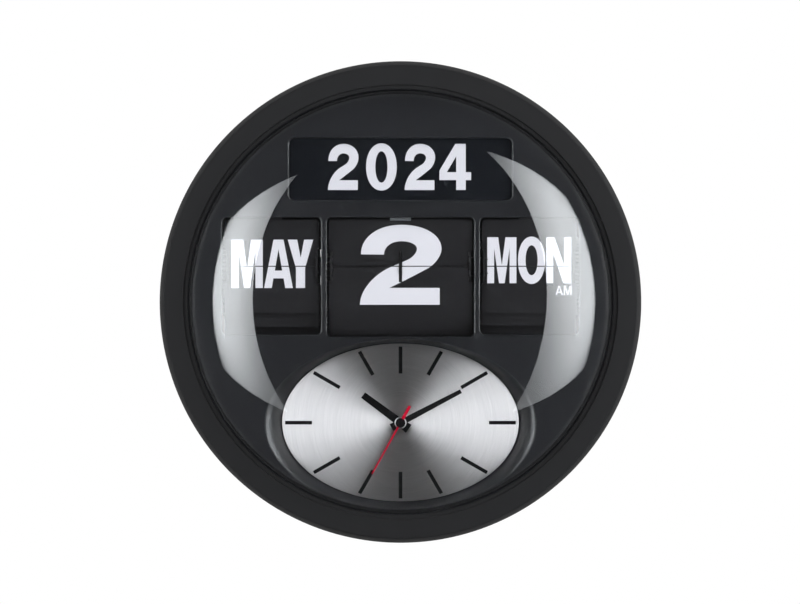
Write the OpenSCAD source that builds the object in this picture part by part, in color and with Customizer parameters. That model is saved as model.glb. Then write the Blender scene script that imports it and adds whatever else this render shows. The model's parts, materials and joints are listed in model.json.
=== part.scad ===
// Round wall clock: three drums of hinged leaves show month, date and weekday,
// a year card stands above them and an oval dial with hands lies below.
// A deep clear dome leaves room for the leaves to fall forward.
//
// The flat back hangs on the wall, which is the plane y = 0. The front faces -Y
// and +Z is up. Depths below are distances from the wall, towards the viewer.

/* [Case] */
// Outer diameter of the front ring
ring_d = 400; // [398:1:420]
// Width of the front ring, from its outer edge to its inner lip
ring_w = 20; // [18:0.5:22]
// Depth of the front ring's side wall
ring_depth = 26; // [20:1:34]
// Wall thickness of the front ring's side
ring_wall = 3; // [2:0.25:4]
// Radius of the front ring's rounded outer edge
ring_round = 3; // [1:0.5:5]
// Depth of the rear case, from the wall to the seat of the dial plate
case_depth = 78.5; // [78.5:0.5:90]
// Wall thickness of the rear case
case_wall = 3; // [2.5:0.25:3.5]
// Radius of the rear case's rounded back edge
case_round = 6; // [2:0.5:8]
// Number of screws that hold the front ring to the rear case
ring_screws = 8; // [6:1:12]

/* [Dome] */
// Height of the clear dome above its flange
dome_h = 49.2; // [46:0.2:60]
// Wall thickness of the clear dome
dome_t = 2; // [1.5:0.1:3]
// Squareness of the dome's section, where 2 is an ellipse
dome_power = 2.5; // [2.4:0.1:3]
// Thickness of the dome's flange
flange_t = 2; // [1.5:0.1:2.5]
// Thickness of the soft ring under the flange
gasket_t = 0.8; // [0.5:0.1:1.5]

/* [Dial plate] */
// Thickness of the dial plate
plate_t = 3.5; // [2.5:0.25:4]
// Corner radius of the windows
window_round = 4.4; // [2:0.2:6]
// Height of the upper edge of the three lower windows above the centre
window_top = 70.1; // [69.5:0.1:72]
// Width of the date window
date_window_w = 122; // [121:0.5:123]
// Height of the date window
date_window_h = 98.9; // [92:0.1:98.9]
// Width of the month and weekday windows
side_window_w = 82; // [81:0.5:83]
// Height of the month and weekday windows
side_window_h = 97; // [90:0.5:98]
// Width of the bar between two windows
window_bar = 5; // [5:0.5:7]
// Width of the year window
year_window_w = 185; // [150:1:186]
// Height of the year window
year_window_h = 51.3; // [45:0.1:51.5]
// Height of the year window's middle above the centre
year_z = 110.4; // [110:0.1:111]

/* [Calendar drums] */
// Height of the drums' axle above the centre
axle_z = 29.7; // [29.5:0.1:30]
// Distance of the drums' axle from the wall
axle_depth = 51; // [50.5:0.1:51.5]
// Diameter of the axle
axle_d = 4; // [3:0.1:5]
// Radius of the circle on which the leaves are hinged
pivot_r = 26; // [25.5:0.1:26]
// Radius of the drum's discs
disc_r = 28.5; // [28:0.1:28.5]
// Thickness of the drum's discs
disc_t = 1.6; // [1.2:0.1:1.7]
// Radius of the drum's core
core_r = 8; // [5:0.5:10]
// Height of a leaf, from the split line to its tip
leaf_h = 38.7; // [36:0.1:38.8]
// Thickness of a leaf
leaf_t = 0.4; // [0.3:0.05:0.4]
// Width of the date leaves
date_leaf_w = 119.4; // [118:0.1:119.6]
// Width of the month and weekday leaves
side_leaf_w = 78.7; // [78:0.1:78.8]
// Radius of a leaf's free corners
leaf_round = 3.5; // [1:0.5:6]
// Open line between an upper and a lower leaf
split_gap = 0.8; // [0.8:0.1:1.2]
// Radius of the pins on which a leaf swings
pin_r = 0.6; // [0.4:0.05:0.6]
// Running clearance of pins and shafts in their holes, on the radius
running_gap = 0.08; // [0.03:0.01:0.1]

/* [Calendar drive] */
// Distance between a drum's axis and its set wheel's axis
set_distance = 32; // [31.5:0.1:32]
// Radius of the knurled set wheels
set_wheel_r = 18; // [16:0.5:18]
// Width of the month and weekday set wheels
set_wheel_w = 9; // [6:0.5:10]
// Width of the narrow date set wheel
date_wheel_w = 1.9; // [1.5:0.1:1.9]
// Radius of the wheels' shafts
shaft_r = 2; // [1.5:0.1:2.5]
// Radius of the stepping motors
motor_r = 9; // [7:0.5:9]
// Length of the stepping motors
motor_l = 14; // [10:1:18]
// Thickness of the plates that carry the drums
carrier_t = 2.5; // [2:0.1:2.5]
// Thickness of the folded rails that join the carrier plates
rail_t = 2; // [1.5:0.1:2]

/* [Oval dial] */
// Width of the silver dial
dial_w = 197; // [180:1:198]
// Height of the silver dial
dial_h = 132; // [120:1:132]
// Thickness of the silver dial
dial_t = 1.5; // [1:0.1:2]
// Height of the dial's centre, which is negative because it lies below
dial_z = -100.4; // [-101:0.1:-100]
// Distance from the dial plate's front down to the silver dial
dial_sink = 10.5; // [10.5:0.1:12]
// Width of the recess at the front
recess_w = 226; // [215:1:228]
// Height of the recess at the front
recess_h = 142.4; // [140:0.2:143]
// Height of the recess's middle, a little below the dial's centre
recess_z = -101.6; // [-102:0.1:-100.6]
// Wall thickness of the recess
recess_t = 2.5; // [2:0.1:3]
// Length of the hour markers
marker_l = 22.4; // [15:0.2:25]
// Width of the hour markers
marker_w = 3; // [2:0.1:4]
// Thickness of the hour markers
marker_t = 0.5; // [0.3:0.1:0.8]

/* [Hands] */
// Length of the hour hand from the centre
hour_l = 38.7; // [34:0.1:42]
// Length of the minute hand from the centre
minute_l = 56.7; // [50:0.1:57]
// Length of the second hand from the centre
second_l = 48.4; // [40:0.1:57]
// Length of the second hand's tail
second_tail = 16; // [10:0.5:20]
// Thickness of the hour and minute hands
hand_t = 0.8; // [0.6:0.05:0.8]
// Angle of the hour hand, clockwise from the top
hour_angle = 306.5; // [0:0.5:360]
// Angle of the minute hand, clockwise from the top
minute_angle = 62.4; // [0:0.1:360]
// Angle of the second hand, clockwise from the top
second_angle = 209.2; // [0:0.1:360]
// Width and height of the clock movement's box
movement_w = 56; // [50:1:60]
// Depth of the clock movement's box
movement_t = 16; // [14:0.5:18]
// Radius of the knob that sets the hands
knob_r = 9; // [7:0.5:11]

/* [Battery] */
// Diameter of a battery cell
cell_d = 33.5; // [32:0.1:34]
// Length of a battery cell without its cap
cell_l = 59.5; // [58:0.1:60]
// Sideways place of the battery bay's middle
bay_x = 78; // [77:0.5:82]
// Height of the battery bay's middle, below the centre
bay_z = -90; // [-92:0.5:-89]
// Thickness of the battery door
door_t = 2; // [1.6:0.1:2]

/* [Hidden] */

// Clearances
seat_gap = 0.3;          // between pieces of different bodies that nearly touch
side_gap = 0.4;          // between a turning wheel and the carrier beside it
tip_gap = 0.5;           // between a disc's rim and a leaf's notch

// Colours, as the finished clock shows them
black = [0.07, 0.07, 0.08];
soft_black = [0.12, 0.12, 0.13];
silver = [0.8, 0.8, 0.82];
steel = [0.6, 0.62, 0.65];
gear_grey = [0.16, 0.16, 0.17];
red = [0.75, 0.08, 0.2];

// Planes, as depths from the wall
plate_front = case_depth + plate_t;
flange_back = plate_front + gasket_t;
flange_front = flange_back + flange_t;
lip_t = 1.4;
ring_front = flange_front + 3.2;
ring_back = ring_front - ring_depth;
dial_front = plate_front - dial_sink;
dial_back = dial_front - dial_t;
floor_back = dial_back - recess_t;
movement_back = floor_back - movement_t;

// Radii of the round case, from the outside in
ring_r = ring_d / 2;
lip_r = ring_r - ring_w;
flange_r = lip_r + 4;
shell_r = flange_r + 4;
tongue_r = ring_r - ring_wall;
dome_r = lip_r - 4.2;
glass_lip_r = dome_r + 0.8;
seat_r = dome_r + 2.2;
ring_screw_r = (shell_r + tongue_r) / 2;
tab_t = 3;               // thickness of the case's flange under the front ring
tab_back = ring_back;

// The three drum modules, numbered month, date, weekday
MONTH = 0;
DATE = 1;
WEEKDAY = 2;
leaf_count = [12, 31, 14];
gear_teeth = [36, 31, 42];
pinion_teeth = [12, 10, 14];
idler_teeth = 24;
gear_side = [-1, -1, 1];             // the side on which a drum carries its gear
leaf_w = [side_leaf_w, date_leaf_w, side_leaf_w];
side_x = date_window_w / 2 + window_bar + side_window_w / 2;
module_x = [-side_x, 0, side_x];
mid_x = (date_window_w + window_bar) / 2;
side_half = side_x - mid_x - carrier_t / 2;
bay_half = [side_half, mid_x - carrier_t / 2, side_half];
end_x = side_x + side_half + carrier_t / 2;
notch_w = 3;
pin_root = 2;            // how far a leaf's pin reaches back into the leaf
pin_l = pin_root + seat_gap + disc_t - 0.4;
disc_in =[for (w = leaf_w) w / 2 - notch_w + seat_gap];
disc_out = [for (d = disc_in) d + disc_t];

// A leaf stands on the pivot circle half a step above or below the axle
function step(i) = 360 / leaf_count[i];
function pivot_rise(i) = pivot_r * sin(step(i) / 2);
function pivot_reach(i) = pivot_r * cos(step(i) / 2);
function leaf_foot(i) = pivot_rise(i) - split_gap / 2;
function leaf_tip(i) = leaf_h - pivot_rise(i);
function notch_top(i) =
    sqrt(pow(disc_r + tip_gap, 2) - pow(pivot_reach(i), 2)) - pivot_rise(i);
function pivot_angle(i, k) = (k + 0.5) * step(i);
// A leaf leans back with its drum until it hangs straight down
function leaf_angle(i, k) = min(90 + k * step(i), 270);

// Gears: equal distance between axes, so each pair has its own tooth size
function tooth_size(i) = 2 * set_distance / (gear_teeth[i] + pinion_teeth[i]);
function pitch_r(teeth, size) = teeth * size / 2;
// Angle at which a mate's first tooth stands, for a line of centres at angle a
function mesh_angle(a, teeth, first, mate) =
    let (f = (a - first) * teeth / 360)
    a + 180 + (f - floor(f)) * 360 / mate + 180 / mate;
idler_drop = pitch_r(gear_teeth[DATE] + idler_teeth, tooth_size(DATE));
date_motor_drop = idler_drop + pitch_r(idler_teeth + pinion_teeth[DATE], tooth_size(DATE));
motor_drop = [set_distance, date_motor_drop, set_distance];
idler_first = mesh_angle(-90, gear_teeth[DATE], 0, idler_teeth);
motor_first = [for (i = [MONTH, DATE, WEEKDAY])
    i == DATE ? mesh_angle(-90, idler_teeth, idler_first, pinion_teeth[DATE])
              : mesh_angle(-90, gear_teeth[i], 0, pinion_teeth[i])];

// Chassis
fan_r = sqrt(pow(leaf_h, 2) + pow(pivot_r, 2));
rail_z = axle_z + fan_r + 3.7;
low_rail_z = axle_z - pivot_r - leaf_h + 0.6;
chassis_back = 10;
rail_flange_h = 14;
motor_pad = 2 * motor_r + 9;
strap_w = 6;
motor_shaft_r = 1.5;
motor_shaft_l = 6;
set_slot_gap = 1.2;      // room for a set wheel at each side of its slot in the back
low_rail_front = axle_depth - motor_pad / 2 - seat_gap;
carrier_front = case_depth - 1.5;
rail_front = case_depth - 1.1;
retainer_w = 17.4;
retainer_t = 0.4;
post_x = [-120, -40, 40, 120];
post_r = 4;              // posts that carry the rails
screw_r = 1.5;
screw_gap = 0.05;
screw_head_r = 2.75;
screw_head_t = 1.8;

// Year card
card_w = year_window_w + 5;
card_z0 = rail_z + rail_t + 1.3;
card_z1 = year_z + year_window_h / 2 + 2.5;
card_t = 0.8;
holder_t = 2.6;
holder_rim = 4;

// Battery bay, with two cells one above the other
cell_r = cell_d / 2;
cap_l = 1.5;
contact_t = 0.6;
contact_w = 18;
spring_l = 7.8;
spring_r = 6;
spring_wall = 1.4;
bay_w = cell_l + cap_l + 2 * contact_t + spring_l;
bay_h = 2 * cell_d + 4;
bay_wall = 2;
bay_depth = cell_d + 5.5;
door_rim = 3.7;
door_w = bay_w + 2 * door_rim;
door_h = bay_h + 2 * door_rim;
door_gap = 0.3;
door_sink = 0.4;
hinge_pin_r = 1;
hinge_depth = 1.5;
hinge_x = bay_x - door_w / 2 + hinge_pin_r + 0.4;
cell_depth = 3 + cell_r + 0.8;
cell_z = [bay_z + cell_r + 1, bay_z - cell_r - 1];

// Control board
board_x = -90;
board_z = -88;
board_w = 70;
board_h = 45;
board_t = 1.6;
board_depth = 12;
board_edge = 3.5;        // free margin between the plug and the board's lower edge
peg_r = 3;               // pegs that carry the board
peg_hole_r = 1.05;
chip_w = 14;
chip_h = 10;
chip_t = 2.2;
can_r = 4;
can_l = 11;
plug_w = 34;
plug_h = 6;
plug_l = 7;
crystal_h = 4;
crystal_t = 3.5;
lead_r = 0.8;

// Hanger with its keyhole
hanger_z = 150;
hanger_w = 64;
hanger_h = 40;
hanger_t = 2;
key_r = 4.75;
key_slot = 4.5;
key_rise = 10;

// Hands and their shafts
hour_tip_w = 5.6;
hour_root_w = 6.8;
minute_tip_w = 3.4;
minute_root_w = 5.2;
hand_tail = 8.5;
hour_pipe_r = 2.65;
minute_pipe_r = 1.8;
second_pin_r = 0.95;
hour_depth = dial_front + 2.6;
minute_depth = hour_depth + hand_t + 1.4;
second_depth = minute_depth + hand_t + 1.3;
stud_r = 4.3;
nut_wall = 1.4;                       // at the nut's corners
nut_h = 1.7;
knob_x = 14;
knob_stem_r = 2;
arbor_back = movement_back + 3;

// A sketch plane at one depth, which extrudes towards the viewer
module facing(depth) translate([0, -depth, 0]) rotate([90, 0, 0]) children();

// A sketch plane across the drums' axis, with x to the back, y up, extruding to +X
module across(x) translate([x, -axle_depth, axle_z]) rotate([90, 0, 90]) children();

// The same plane for a piece on one side of a module, mirrored for the left side
module beside(i, from, to) {
    low = min(gear_side[i] * from, gear_side[i] * to);
    across(module_x[i] + low) linear_extrude(abs(to - from)) children();
}

// A rectangle with round corners, whose corners stay true arcs
module rounded(w, h, r) {
    square([w - 2 * r, h], center = true);
    square([w, h - 2 * r], center = true);
    for (x = [-1, 1], y = [-1, 1])
        translate([x * (w / 2 - r), y * (h / 2 - r)]) circle(r, $fn = 40);
}

module oval(w, h) scale([w / h, 1]) circle(d = h, $fn = 96);

// Outline of a toothed wheel with straight flanks and room for play
function gear_outline(teeth, size, first = 0) =
    let (pitch = 360 / teeth, r = pitch_r(teeth, size),
        half = [[r - 1.25 * size, 0.3], [r, 0.215], [r + 0.9 * size, 0.1]])
    [for (n = [0:teeth - 1], s = [-1, 1], j = [0:2])
        let (h = half[s < 0 ? j : 2 - j], a = first + (n + s * h[1]) * pitch)
        h[0] * [cos(a), sin(a)]];

module wheel_teeth(teeth, size, first = 0) polygon(gear_outline(teeth, size, first));

// A screw whose head's flat lies at the given depth and whose shank runs forward
module screw(depth, length) {
    facing(depth) cylinder(r = screw_r, h = length, $fn = 24);
    facing(depth - screw_head_t) cylinder(r = screw_head_r, h = screw_head_t, $fn = 32);
}

module at_ring_screws()
    for (n = [0:ring_screws - 1])
        rotate([0, (n + 0.5) * 360 / ring_screws, 0]) translate([0, 0, ring_screw_r]) children();

module at_posts()
    for (x = post_x, z = [rail_z + rail_t + rail_flange_h / 2 - 1,
            low_rail_z - rail_t - rail_flange_h / 2 + 1])
        translate([x, 0, z]) children();

module at_board_corners()
    for (x = [-1, 1], z = [-1, 1])
        translate([board_x + x * (board_w / 2 - 4), 0, board_z + z * (board_h / 2 - 4)]) children();

module at_hanger_screws()
    for (x = [-1, 1], z = [-1, 1])
        translate([x * (hanger_w / 2 - 5), 0, hanger_z + z * (hanger_h / 2 - 5)]) children();

// Case

// The drum-shaped rear case: back panel, side wall, seat for the dial plate,
// a flange for the front ring, posts, and the bay for the batteries
module case_shell() {
    inner = shell_r - case_wall;
    back_arc = [for (a = [0:15:90])
        [shell_r - case_round * (1 - sin(a)), case_round * (1 - cos(a))]];
    facing(0) rotate_extrude($fn = 180) polygon(concat(
        [[0, 0]], back_arc,
        [[shell_r, tab_back], [tongue_r - seat_gap, tab_back],
        [tongue_r - seat_gap, tab_back + tab_t], [shell_r, tab_back + tab_t],
        [shell_r, case_depth], [seat_r, case_depth], [seat_r, case_depth - 3],
        [inner, case_depth - 6], [inner, case_wall + 3], [inner - 3, case_wall],
        [0, case_wall]]));
}

module rear_case() color(black) difference() {
    union() {
        case_shell();
        at_posts() facing(case_wall - 1)
            cylinder(r = post_r, h = chassis_back - case_wall + 1, $fn = 32);
        at_board_corners()
            facing(case_wall - 1) cylinder(r = peg_r, h = board_depth - case_wall + 1, $fn = 32);
        translate([bay_x, 0, bay_z]) {
            facing(0) linear_extrude(bay_depth + bay_wall)
                square([bay_w + 2 * bay_wall, bay_h + 2 * bay_wall], center = true);
            facing(0) linear_extrude(2 * case_wall)
                square([door_w + 2 * bay_wall, door_h + 2 * bay_wall], center = true);
        }
    }
    // Battery bay, the recess for its door and the sockets for the hinge pins
    translate([bay_x, 0, bay_z]) {
        facing(-1) linear_extrude(bay_depth + 1) square([bay_w, bay_h], center = true);
        facing(-1) linear_extrude(door_t + door_sink + door_gap + 1)
            square([door_w, door_h], center = true);
        facing(-1) linear_extrude(door_t + 1) translate([door_w / 2, 0]) circle(8, $fn = 40);
    }
    translate([hinge_x, -hinge_depth, bay_z]) cylinder(r = hinge_pin_r + running_gap,
        h = door_h + 2.4, center = true, $fn = 32);
    // Slots through which the set wheels are turned
    for (i = [MONTH, DATE, WEEKDAY]) {
        x0 = set_wheel_x(i) - set_slot_gap;
        x1 = set_wheel_x(i) + set_width(i) + set_slot_gap;
        translate([(x0 + x1) / 2, 0, axle_z]) facing(-1) linear_extrude(case_wall + 2)
            rounded(x1 - x0, 32, min(2, (x1 - x0) / 2 - 0.1));
    }
    // Holes for the hands' knob, the hanging screw and the front ring's screws
    translate([knob_x, 0, dial_z]) facing(-1) cylinder(r = knob_r + 8, h = case_wall + 2, $fn = 64);
    translate([0, 0, hanger_z]) facing(-1) linear_extrude(case_wall + 2)
        rounded(hanger_w - 18, hanger_h - 10, 4);
    translate([0, 0, hanger_z]) facing(1) linear_extrude(case_wall)
        rounded(hanger_w + 0.4, hanger_h + 0.4, 3);
    at_hanger_screws() facing(-1) cylinder(r = screw_r + screw_gap, h = case_wall + 2, $fn = 24);
    at_ring_screws() facing(tab_back - 1) cylinder(r = screw_r + 0.2, h = tab_t + 2, $fn = 24);
    at_posts() facing(case_wall + 1) cylinder(r = screw_r + screw_gap, h = chassis_back, $fn = 24);
    at_board_corners()
        facing(case_wall + 2) cylinder(r = peg_hole_r, h = board_depth, $fn = 24);
}

// The matt front ring, with the lip that holds the dome and bosses for its screws
module front_ring() color(soft_black) {
    outer_arc = [for (a = [0:15:90])
        [ring_r - ring_round * (1 - cos(a)), ring_front - ring_round * (1 - sin(a))]];
    facing(0) rotate_extrude($fn = 180) polygon(concat(
        [[tongue_r, ring_back], [ring_r, ring_back]], outer_arc,
        [[lip_r + 0.6, ring_front], [lip_r, ring_front - 0.6],
        [lip_r, flange_front + lip_t], [glass_lip_r, flange_front + lip_t],
        [glass_lip_r, flange_front], [flange_r + seat_gap, flange_front],
        [flange_r + seat_gap, case_depth + seat_gap], [shell_r, case_depth + seat_gap],
        [shell_r, flange_front], [tongue_r, flange_front]]));
    at_ring_screws() difference() {
        facing(tab_back + tab_t) cylinder(r = (tongue_r - shell_r) / 2 - 0.4,
            h = flange_front - tab_back - tab_t + 0.5, $fn = 40);
        facing(tab_back + tab_t - 1) cylinder(r = screw_r + screw_gap, h = 13, $fn = 24);
    }
}

// Points of the dome's section: a superellipse of the given radius and height
function dome_section(r, h) = [for (t = [0:2:88])
    [r * pow(sin(t), 2 / dome_power), flange_back + h * pow(cos(t), 2 / dome_power)]];

module dome() color([0.8, 0.9, 1, 0.25]) {
    outer = dome_section(dome_r, dome_h);
    inner = dome_section(dome_r - dome_t, dome_h - dome_t);
    last = len(inner) - 1;
    facing(0) rotate_extrude($fn = 180) polygon(concat(outer,
        [[dome_r, flange_front], [flange_r, flange_front], [flange_r, flange_back],
        [dome_r - dome_t, flange_back]],
        [for (k = [last:-1:0]) inner[k]]));
}

module dome_gasket() color(black) facing(plate_front) difference() {
    cylinder(r = flange_r, h = gasket_t, $fn = 180);
    translate([0, 0, -1]) cylinder(r = seat_r, h = gasket_t + 2, $fn = 180);
}

module ring_fasteners() color(steel) {
    at_ring_screws() screw(tab_back, 12);
    at_hanger_screws() facing(hanger_t + 1) cylinder(r = screw_head_r, h = screw_head_t, $fn = 32);
    at_hanger_screws() facing(0.4) cylinder(r = screw_r, h = hanger_t + 1, $fn = 24);
}

// Steel plate with a keyhole, which hangs the clock on a screw head
module hanger_plate() color(steel) translate([0, 0, hanger_z]) difference() {
    facing(1) linear_extrude(hanger_t) rounded(hanger_w, hanger_h, 3);
    facing(0) cylinder(r = key_r, h = hanger_t + 2, $fn = 48);
    facing(0) linear_extrude(hanger_t + 2) {
        translate([-key_slot / 2, 0]) square([key_slot, key_rise]);
        translate([0, key_rise]) circle(d = key_slot, $fn = 32);
    }
    translate([0, 0, -hanger_z]) at_hanger_screws()
        facing(0) cylinder(r = screw_r + screw_gap, h = hanger_t + 2, $fn = 24);
}

// Dial plate

module windows() {
    translate([0, window_top - date_window_h / 2])
        rounded(date_window_w, date_window_h, window_round);
    for (x = [-side_x, side_x])
        translate([x, window_top - side_window_h / 2])
            rounded(side_window_w, side_window_h, window_round);
    translate([0, year_z]) rounded(year_window_w, year_window_h, window_round);
}

// The recess round the oval dial, grown by a margin, between two depths
module recess(margin, back, front) hull() {
    facing(back) linear_extrude(0.1) translate([0, dial_z])
        oval(dial_w + 2 * margin + 1, dial_h + 2 * margin + 1);
    facing(front - 0.1) linear_extrude(0.1) translate([0, recess_z])
        oval(recess_w + 2 * margin, recess_h + 2 * margin);
}

// The front plate with its four windows and the sunk seat of the oval dial
module dial_plate() color(soft_black) difference() {
    union() {
        facing(case_depth) cylinder(r = flange_r, h = plate_t, $fn = 180);
        recess(recess_t, floor_back, case_depth + 0.5);
    }
    recess(0, dial_back, plate_front + 0.05);
    facing(floor_back - 1) linear_extrude(plate_front - floor_back + 2) windows();
    translate([0, 0, dial_z]) facing(floor_back - 1)
        cylinder(r = stud_r + screw_gap, h = recess_t + 2, $fn = 40);
}

module silver_dial() color(silver) translate([0, 0, dial_z]) difference() {
    facing(dial_back) linear_extrude(dial_t) oval(dial_w, dial_h);
    facing(dial_back - 1) cylinder(r = stud_r + screw_gap, h = dial_t + 2, $fn = 40);
}

// Twelve bars whose outer ends follow the oval a little inside its edge
module hour_markers() color(black) translate([0, 0, dial_z]) {
    a = dial_w / 2 - 2.5;
    b = dial_h / 2 - 2.7;
    for (n = [0:11]) {
        turn = 30 * n;
        reach = 1 / sqrt(pow(sin(turn) / a, 2) + pow(cos(turn) / b, 2));
        long = n % 6 == 2 || n % 6 == 4 ? 1.12 : 1;
        rotate([0, turn, 0]) facing(dial_front) linear_extrude(marker_t)
            translate([-marker_w / 2, reach - marker_l * long]) square([marker_w, marker_l * long]);
    }
}

module year_card() color([0.1, 0.12, 0.14])
    facing(case_depth - card_t - 0.2) linear_extrude(card_t)
        translate([-card_w / 2, card_z0]) square([card_w, card_z1 - card_z0]);

// A frame open at the top, in which the year card stands
module year_card_holder() color(black) difference() {
    w = card_w + 2 * holder_rim;
    facing(case_depth - holder_t) linear_extrude(holder_t)
        translate([-w / 2, card_z0 - 1]) square([w, card_z1 - card_z0 + 1]);
    facing(case_depth - card_t - 0.4) linear_extrude(card_t + 1)
        translate([-card_w / 2 - 0.2, card_z0]) square([card_w + 0.4, card_z1 - card_z0 + 1]);
    facing(case_depth - holder_t - 1) linear_extrude(holder_t + 2)
        translate([-card_w / 2 + 4, card_z0 + 4]) square([card_w - 8, card_z1 - card_z0]);
}

// Calendar drums

// Two discs on a core, with a hole for each leaf's pins, and a third disc for the date
module drum(i) color(soft_black) difference() {
    union() {
        across(module_x[i] - bay_half[i] + seat_gap)
            cylinder(r = core_r, h = 2 * (bay_half[i] - seat_gap), $fn = 48);
        for (s = [-disc_out[i], disc_in[i]])
            across(module_x[i] + s) cylinder(r = disc_r, h = disc_t, $fn = 96);
        if (i == DATE) across(-0.5) cylinder(r = disc_r, h = 1, $fn = 96);
    }
    across(module_x[i] - bay_half[i])
        cylinder(r = axle_d / 2 + running_gap, h = 2 * bay_half[i], $fn = 32);
    for (k = [0:leaf_count[i] - 1], s = [-disc_out[i], disc_in[i]])
        across(module_x[i] + s - 0.5) rotate(-pivot_angle(i, k)) translate([-pivot_r, 0])
            cylinder(r = pin_r + running_gap, h = disc_t + 1, $fn = 16);
}

module drum_gear(i) color(gear_grey) difference() {
    beside(i, disc_out[i], bay_half[i] - side_gap)
        wheel_teeth(gear_teeth[i], tooth_size(i));
    across(module_x[i] - bay_half[i]) cylinder(r = core_r, h = 2 * bay_half[i], $fn = 48);
}

// One upright leaf about its own pivot, with notches for the discs and two pins
module leaf(i) {
    w = leaf_w[i];
    top = leaf_tip(i);
    foot = leaf_foot(i);
    neck = notch_top(i) + foot;
    translate([0, leaf_t / 2, 0]) rotate([90, 0, 0]) linear_extrude(leaf_t) difference() {
        union() {
            translate([-w / 2, -foot]) square([w, top + foot - leaf_round]);
            translate([-w / 2 + leaf_round, 0]) square([w - 2 * leaf_round, top]);
            for (x = [-1, 1])
                translate([x * (w / 2 - leaf_round), top - leaf_round])
                    circle(leaf_round, $fn = 32);
        }
        for (x = [-w / 2 - 1, w / 2 - notch_w])
            translate([x, -foot - 1]) square([notch_w + 1, neck + 1]);
        if (i == DATE) translate([-1.25, -foot - 1]) square([2.5, neck + 1]);
    }
    for (s = [-1, 1])
        translate([s * (w / 2 - notch_w - pin_root + pin_l / 2), 0, 0])
            rotate([0, 90, 0]) cylinder(r = pin_r, h = pin_l, center = true, $fn = 16);
}

// Leaf k of a drum, where 0 is the upper front leaf and the last is the lower one
module leaf_on_drum(i, k) {
    turn = pivot_angle(i, k);
    translate([module_x[i], -axle_depth - pivot_r * cos(turn), axle_z + pivot_r * sin(turn)])
        rotate([90 - leaf_angle(i, k), 0, 0]) leaf(i);
}

module leaves(i) color(black)
    for (k = [1:leaf_count[i] - 2]) leaf_on_drum(i, k);

module lower_leaf(i) color(black) leaf_on_drum(i, leaf_count[i] - 1);

module falling_leaf(i) color(black) leaf_on_drum(i, 0);

// The spring strip that holds the upper leaf's tip until the drum moves on
module retainer(i) color(steel)
    translate([module_x[i], 0, 0]) facing(rail_front) linear_extrude(retainer_t)
        translate([-retainer_w / 2, axle_z + leaf_h - 0.8])
            square([retainer_w, rail_z + rail_t - axle_z - leaf_h + 0.8]);

// Calendar drive

// The band beside the leaves in which pinions run, as distances from the module
function band_in(i) = leaf_w[i] / 2 + 0.45;
function band_out(i) = bay_half[i] - side_gap;
function set_width(i) = i == DATE ? date_wheel_w : set_wheel_w;
// Distance of the set wheel's near face from the module, past the carrier plate
function set_from(i) = bay_half[i] + carrier_t + side_gap;
function set_wheel_x(i) = gear_side[i] > 0 ? module_x[i] + set_from(i)
    : module_x[i] - set_from(i) - set_width(i);

// A knurled wheel and a pinion on one shaft, at the drum's back
module set_wheel(i) color(soft_black) {
    size = tooth_size(i);
    knurls = 48;
    grip = [for (n = [0:2 * knurls - 1])
        (set_wheel_r - (n % 2) * 0.7) * [cos(n * 180 / knurls), sin(n * 180 / knurls)]];
    beside(i, band_in(i), band_out(i)) translate([set_distance, 0])
        wheel_teeth(pinion_teeth[i], size, mesh_angle(0, gear_teeth[i], 0, pinion_teeth[i]));
    beside(i, band_out(i) - 0.5, set_from(i) + 0.5) translate([set_distance, 0])
        circle(shaft_r, $fn = 32);
    beside(i, set_from(i), set_from(i) + set_width(i)) translate([set_distance, 0]) polygon(grip);
}

// A round can with a flat strap, which is screwed to the carrier plate
module motor(i) color(steel) {
    from = bay_half[i] + carrier_t;
    difference() {
        union() {
            beside(i, from, from + motor_l) translate([0, -motor_drop[i]])
                circle(motor_r, $fn = 48);
            beside(i, from, from + 1) translate([0, -motor_drop[i]])
                square([motor_pad, strap_w], center = true);
        }
        beside(i, from - 1, from + motor_shaft_l + 1) translate([0, -motor_drop[i]])
            circle(motor_shaft_r + running_gap, $fn = 32);
    }
}

module motor_pinion(i) color(gear_grey) {
    beside(i, band_in(i), band_out(i)) translate([0, -motor_drop[i]])
        wheel_teeth(pinion_teeth[i], tooth_size(i), motor_first[i]);
    beside(i, band_out(i) - 0.5, bay_half[i] + carrier_t + motor_shaft_l)
        translate([0, -motor_drop[i]]) circle(motor_shaft_r, $fn = 32);
}

module date_idler_gear() color(gear_grey) beside(DATE, band_in(DATE), band_out(DATE))
    translate([0, -idler_drop]) difference() {
        wheel_teeth(idler_teeth, tooth_size(DATE), idler_first);
        circle(motor_shaft_r + running_gap, $fn = 32);
    }

// Chassis

// A plate across the drums: it holds the axle, and a shaft or motor on one side
module carrier(x, i, driven) color(steel) {
    across(x - carrier_t / 2) linear_extrude(carrier_t) difference() {
        union() {
            translate([axle_depth - carrier_front, low_rail_z - axle_z])
                square([carrier_front - chassis_back - rail_t, rail_z - low_rail_z]);
            if (driven) translate([0, -motor_drop[i]])
                square([motor_pad, 2 * motor_r], center = true);
        }
        circle(axle_d / 2, $fn = 32);
        if (driven) {
            translate([set_distance, 0]) circle(shaft_r + running_gap, $fn = 32);
            translate([0, -motor_drop[i]]) circle(motor_shaft_r + running_gap, $fn = 32);
        }
    }
    if (driven && i == DATE) beside(DATE, bay_half[DATE] - side_gap - 1.6, bay_half[DATE] + 0.5)
        translate([0, -idler_drop]) circle(motor_shaft_r, $fn = 32);
}

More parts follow.
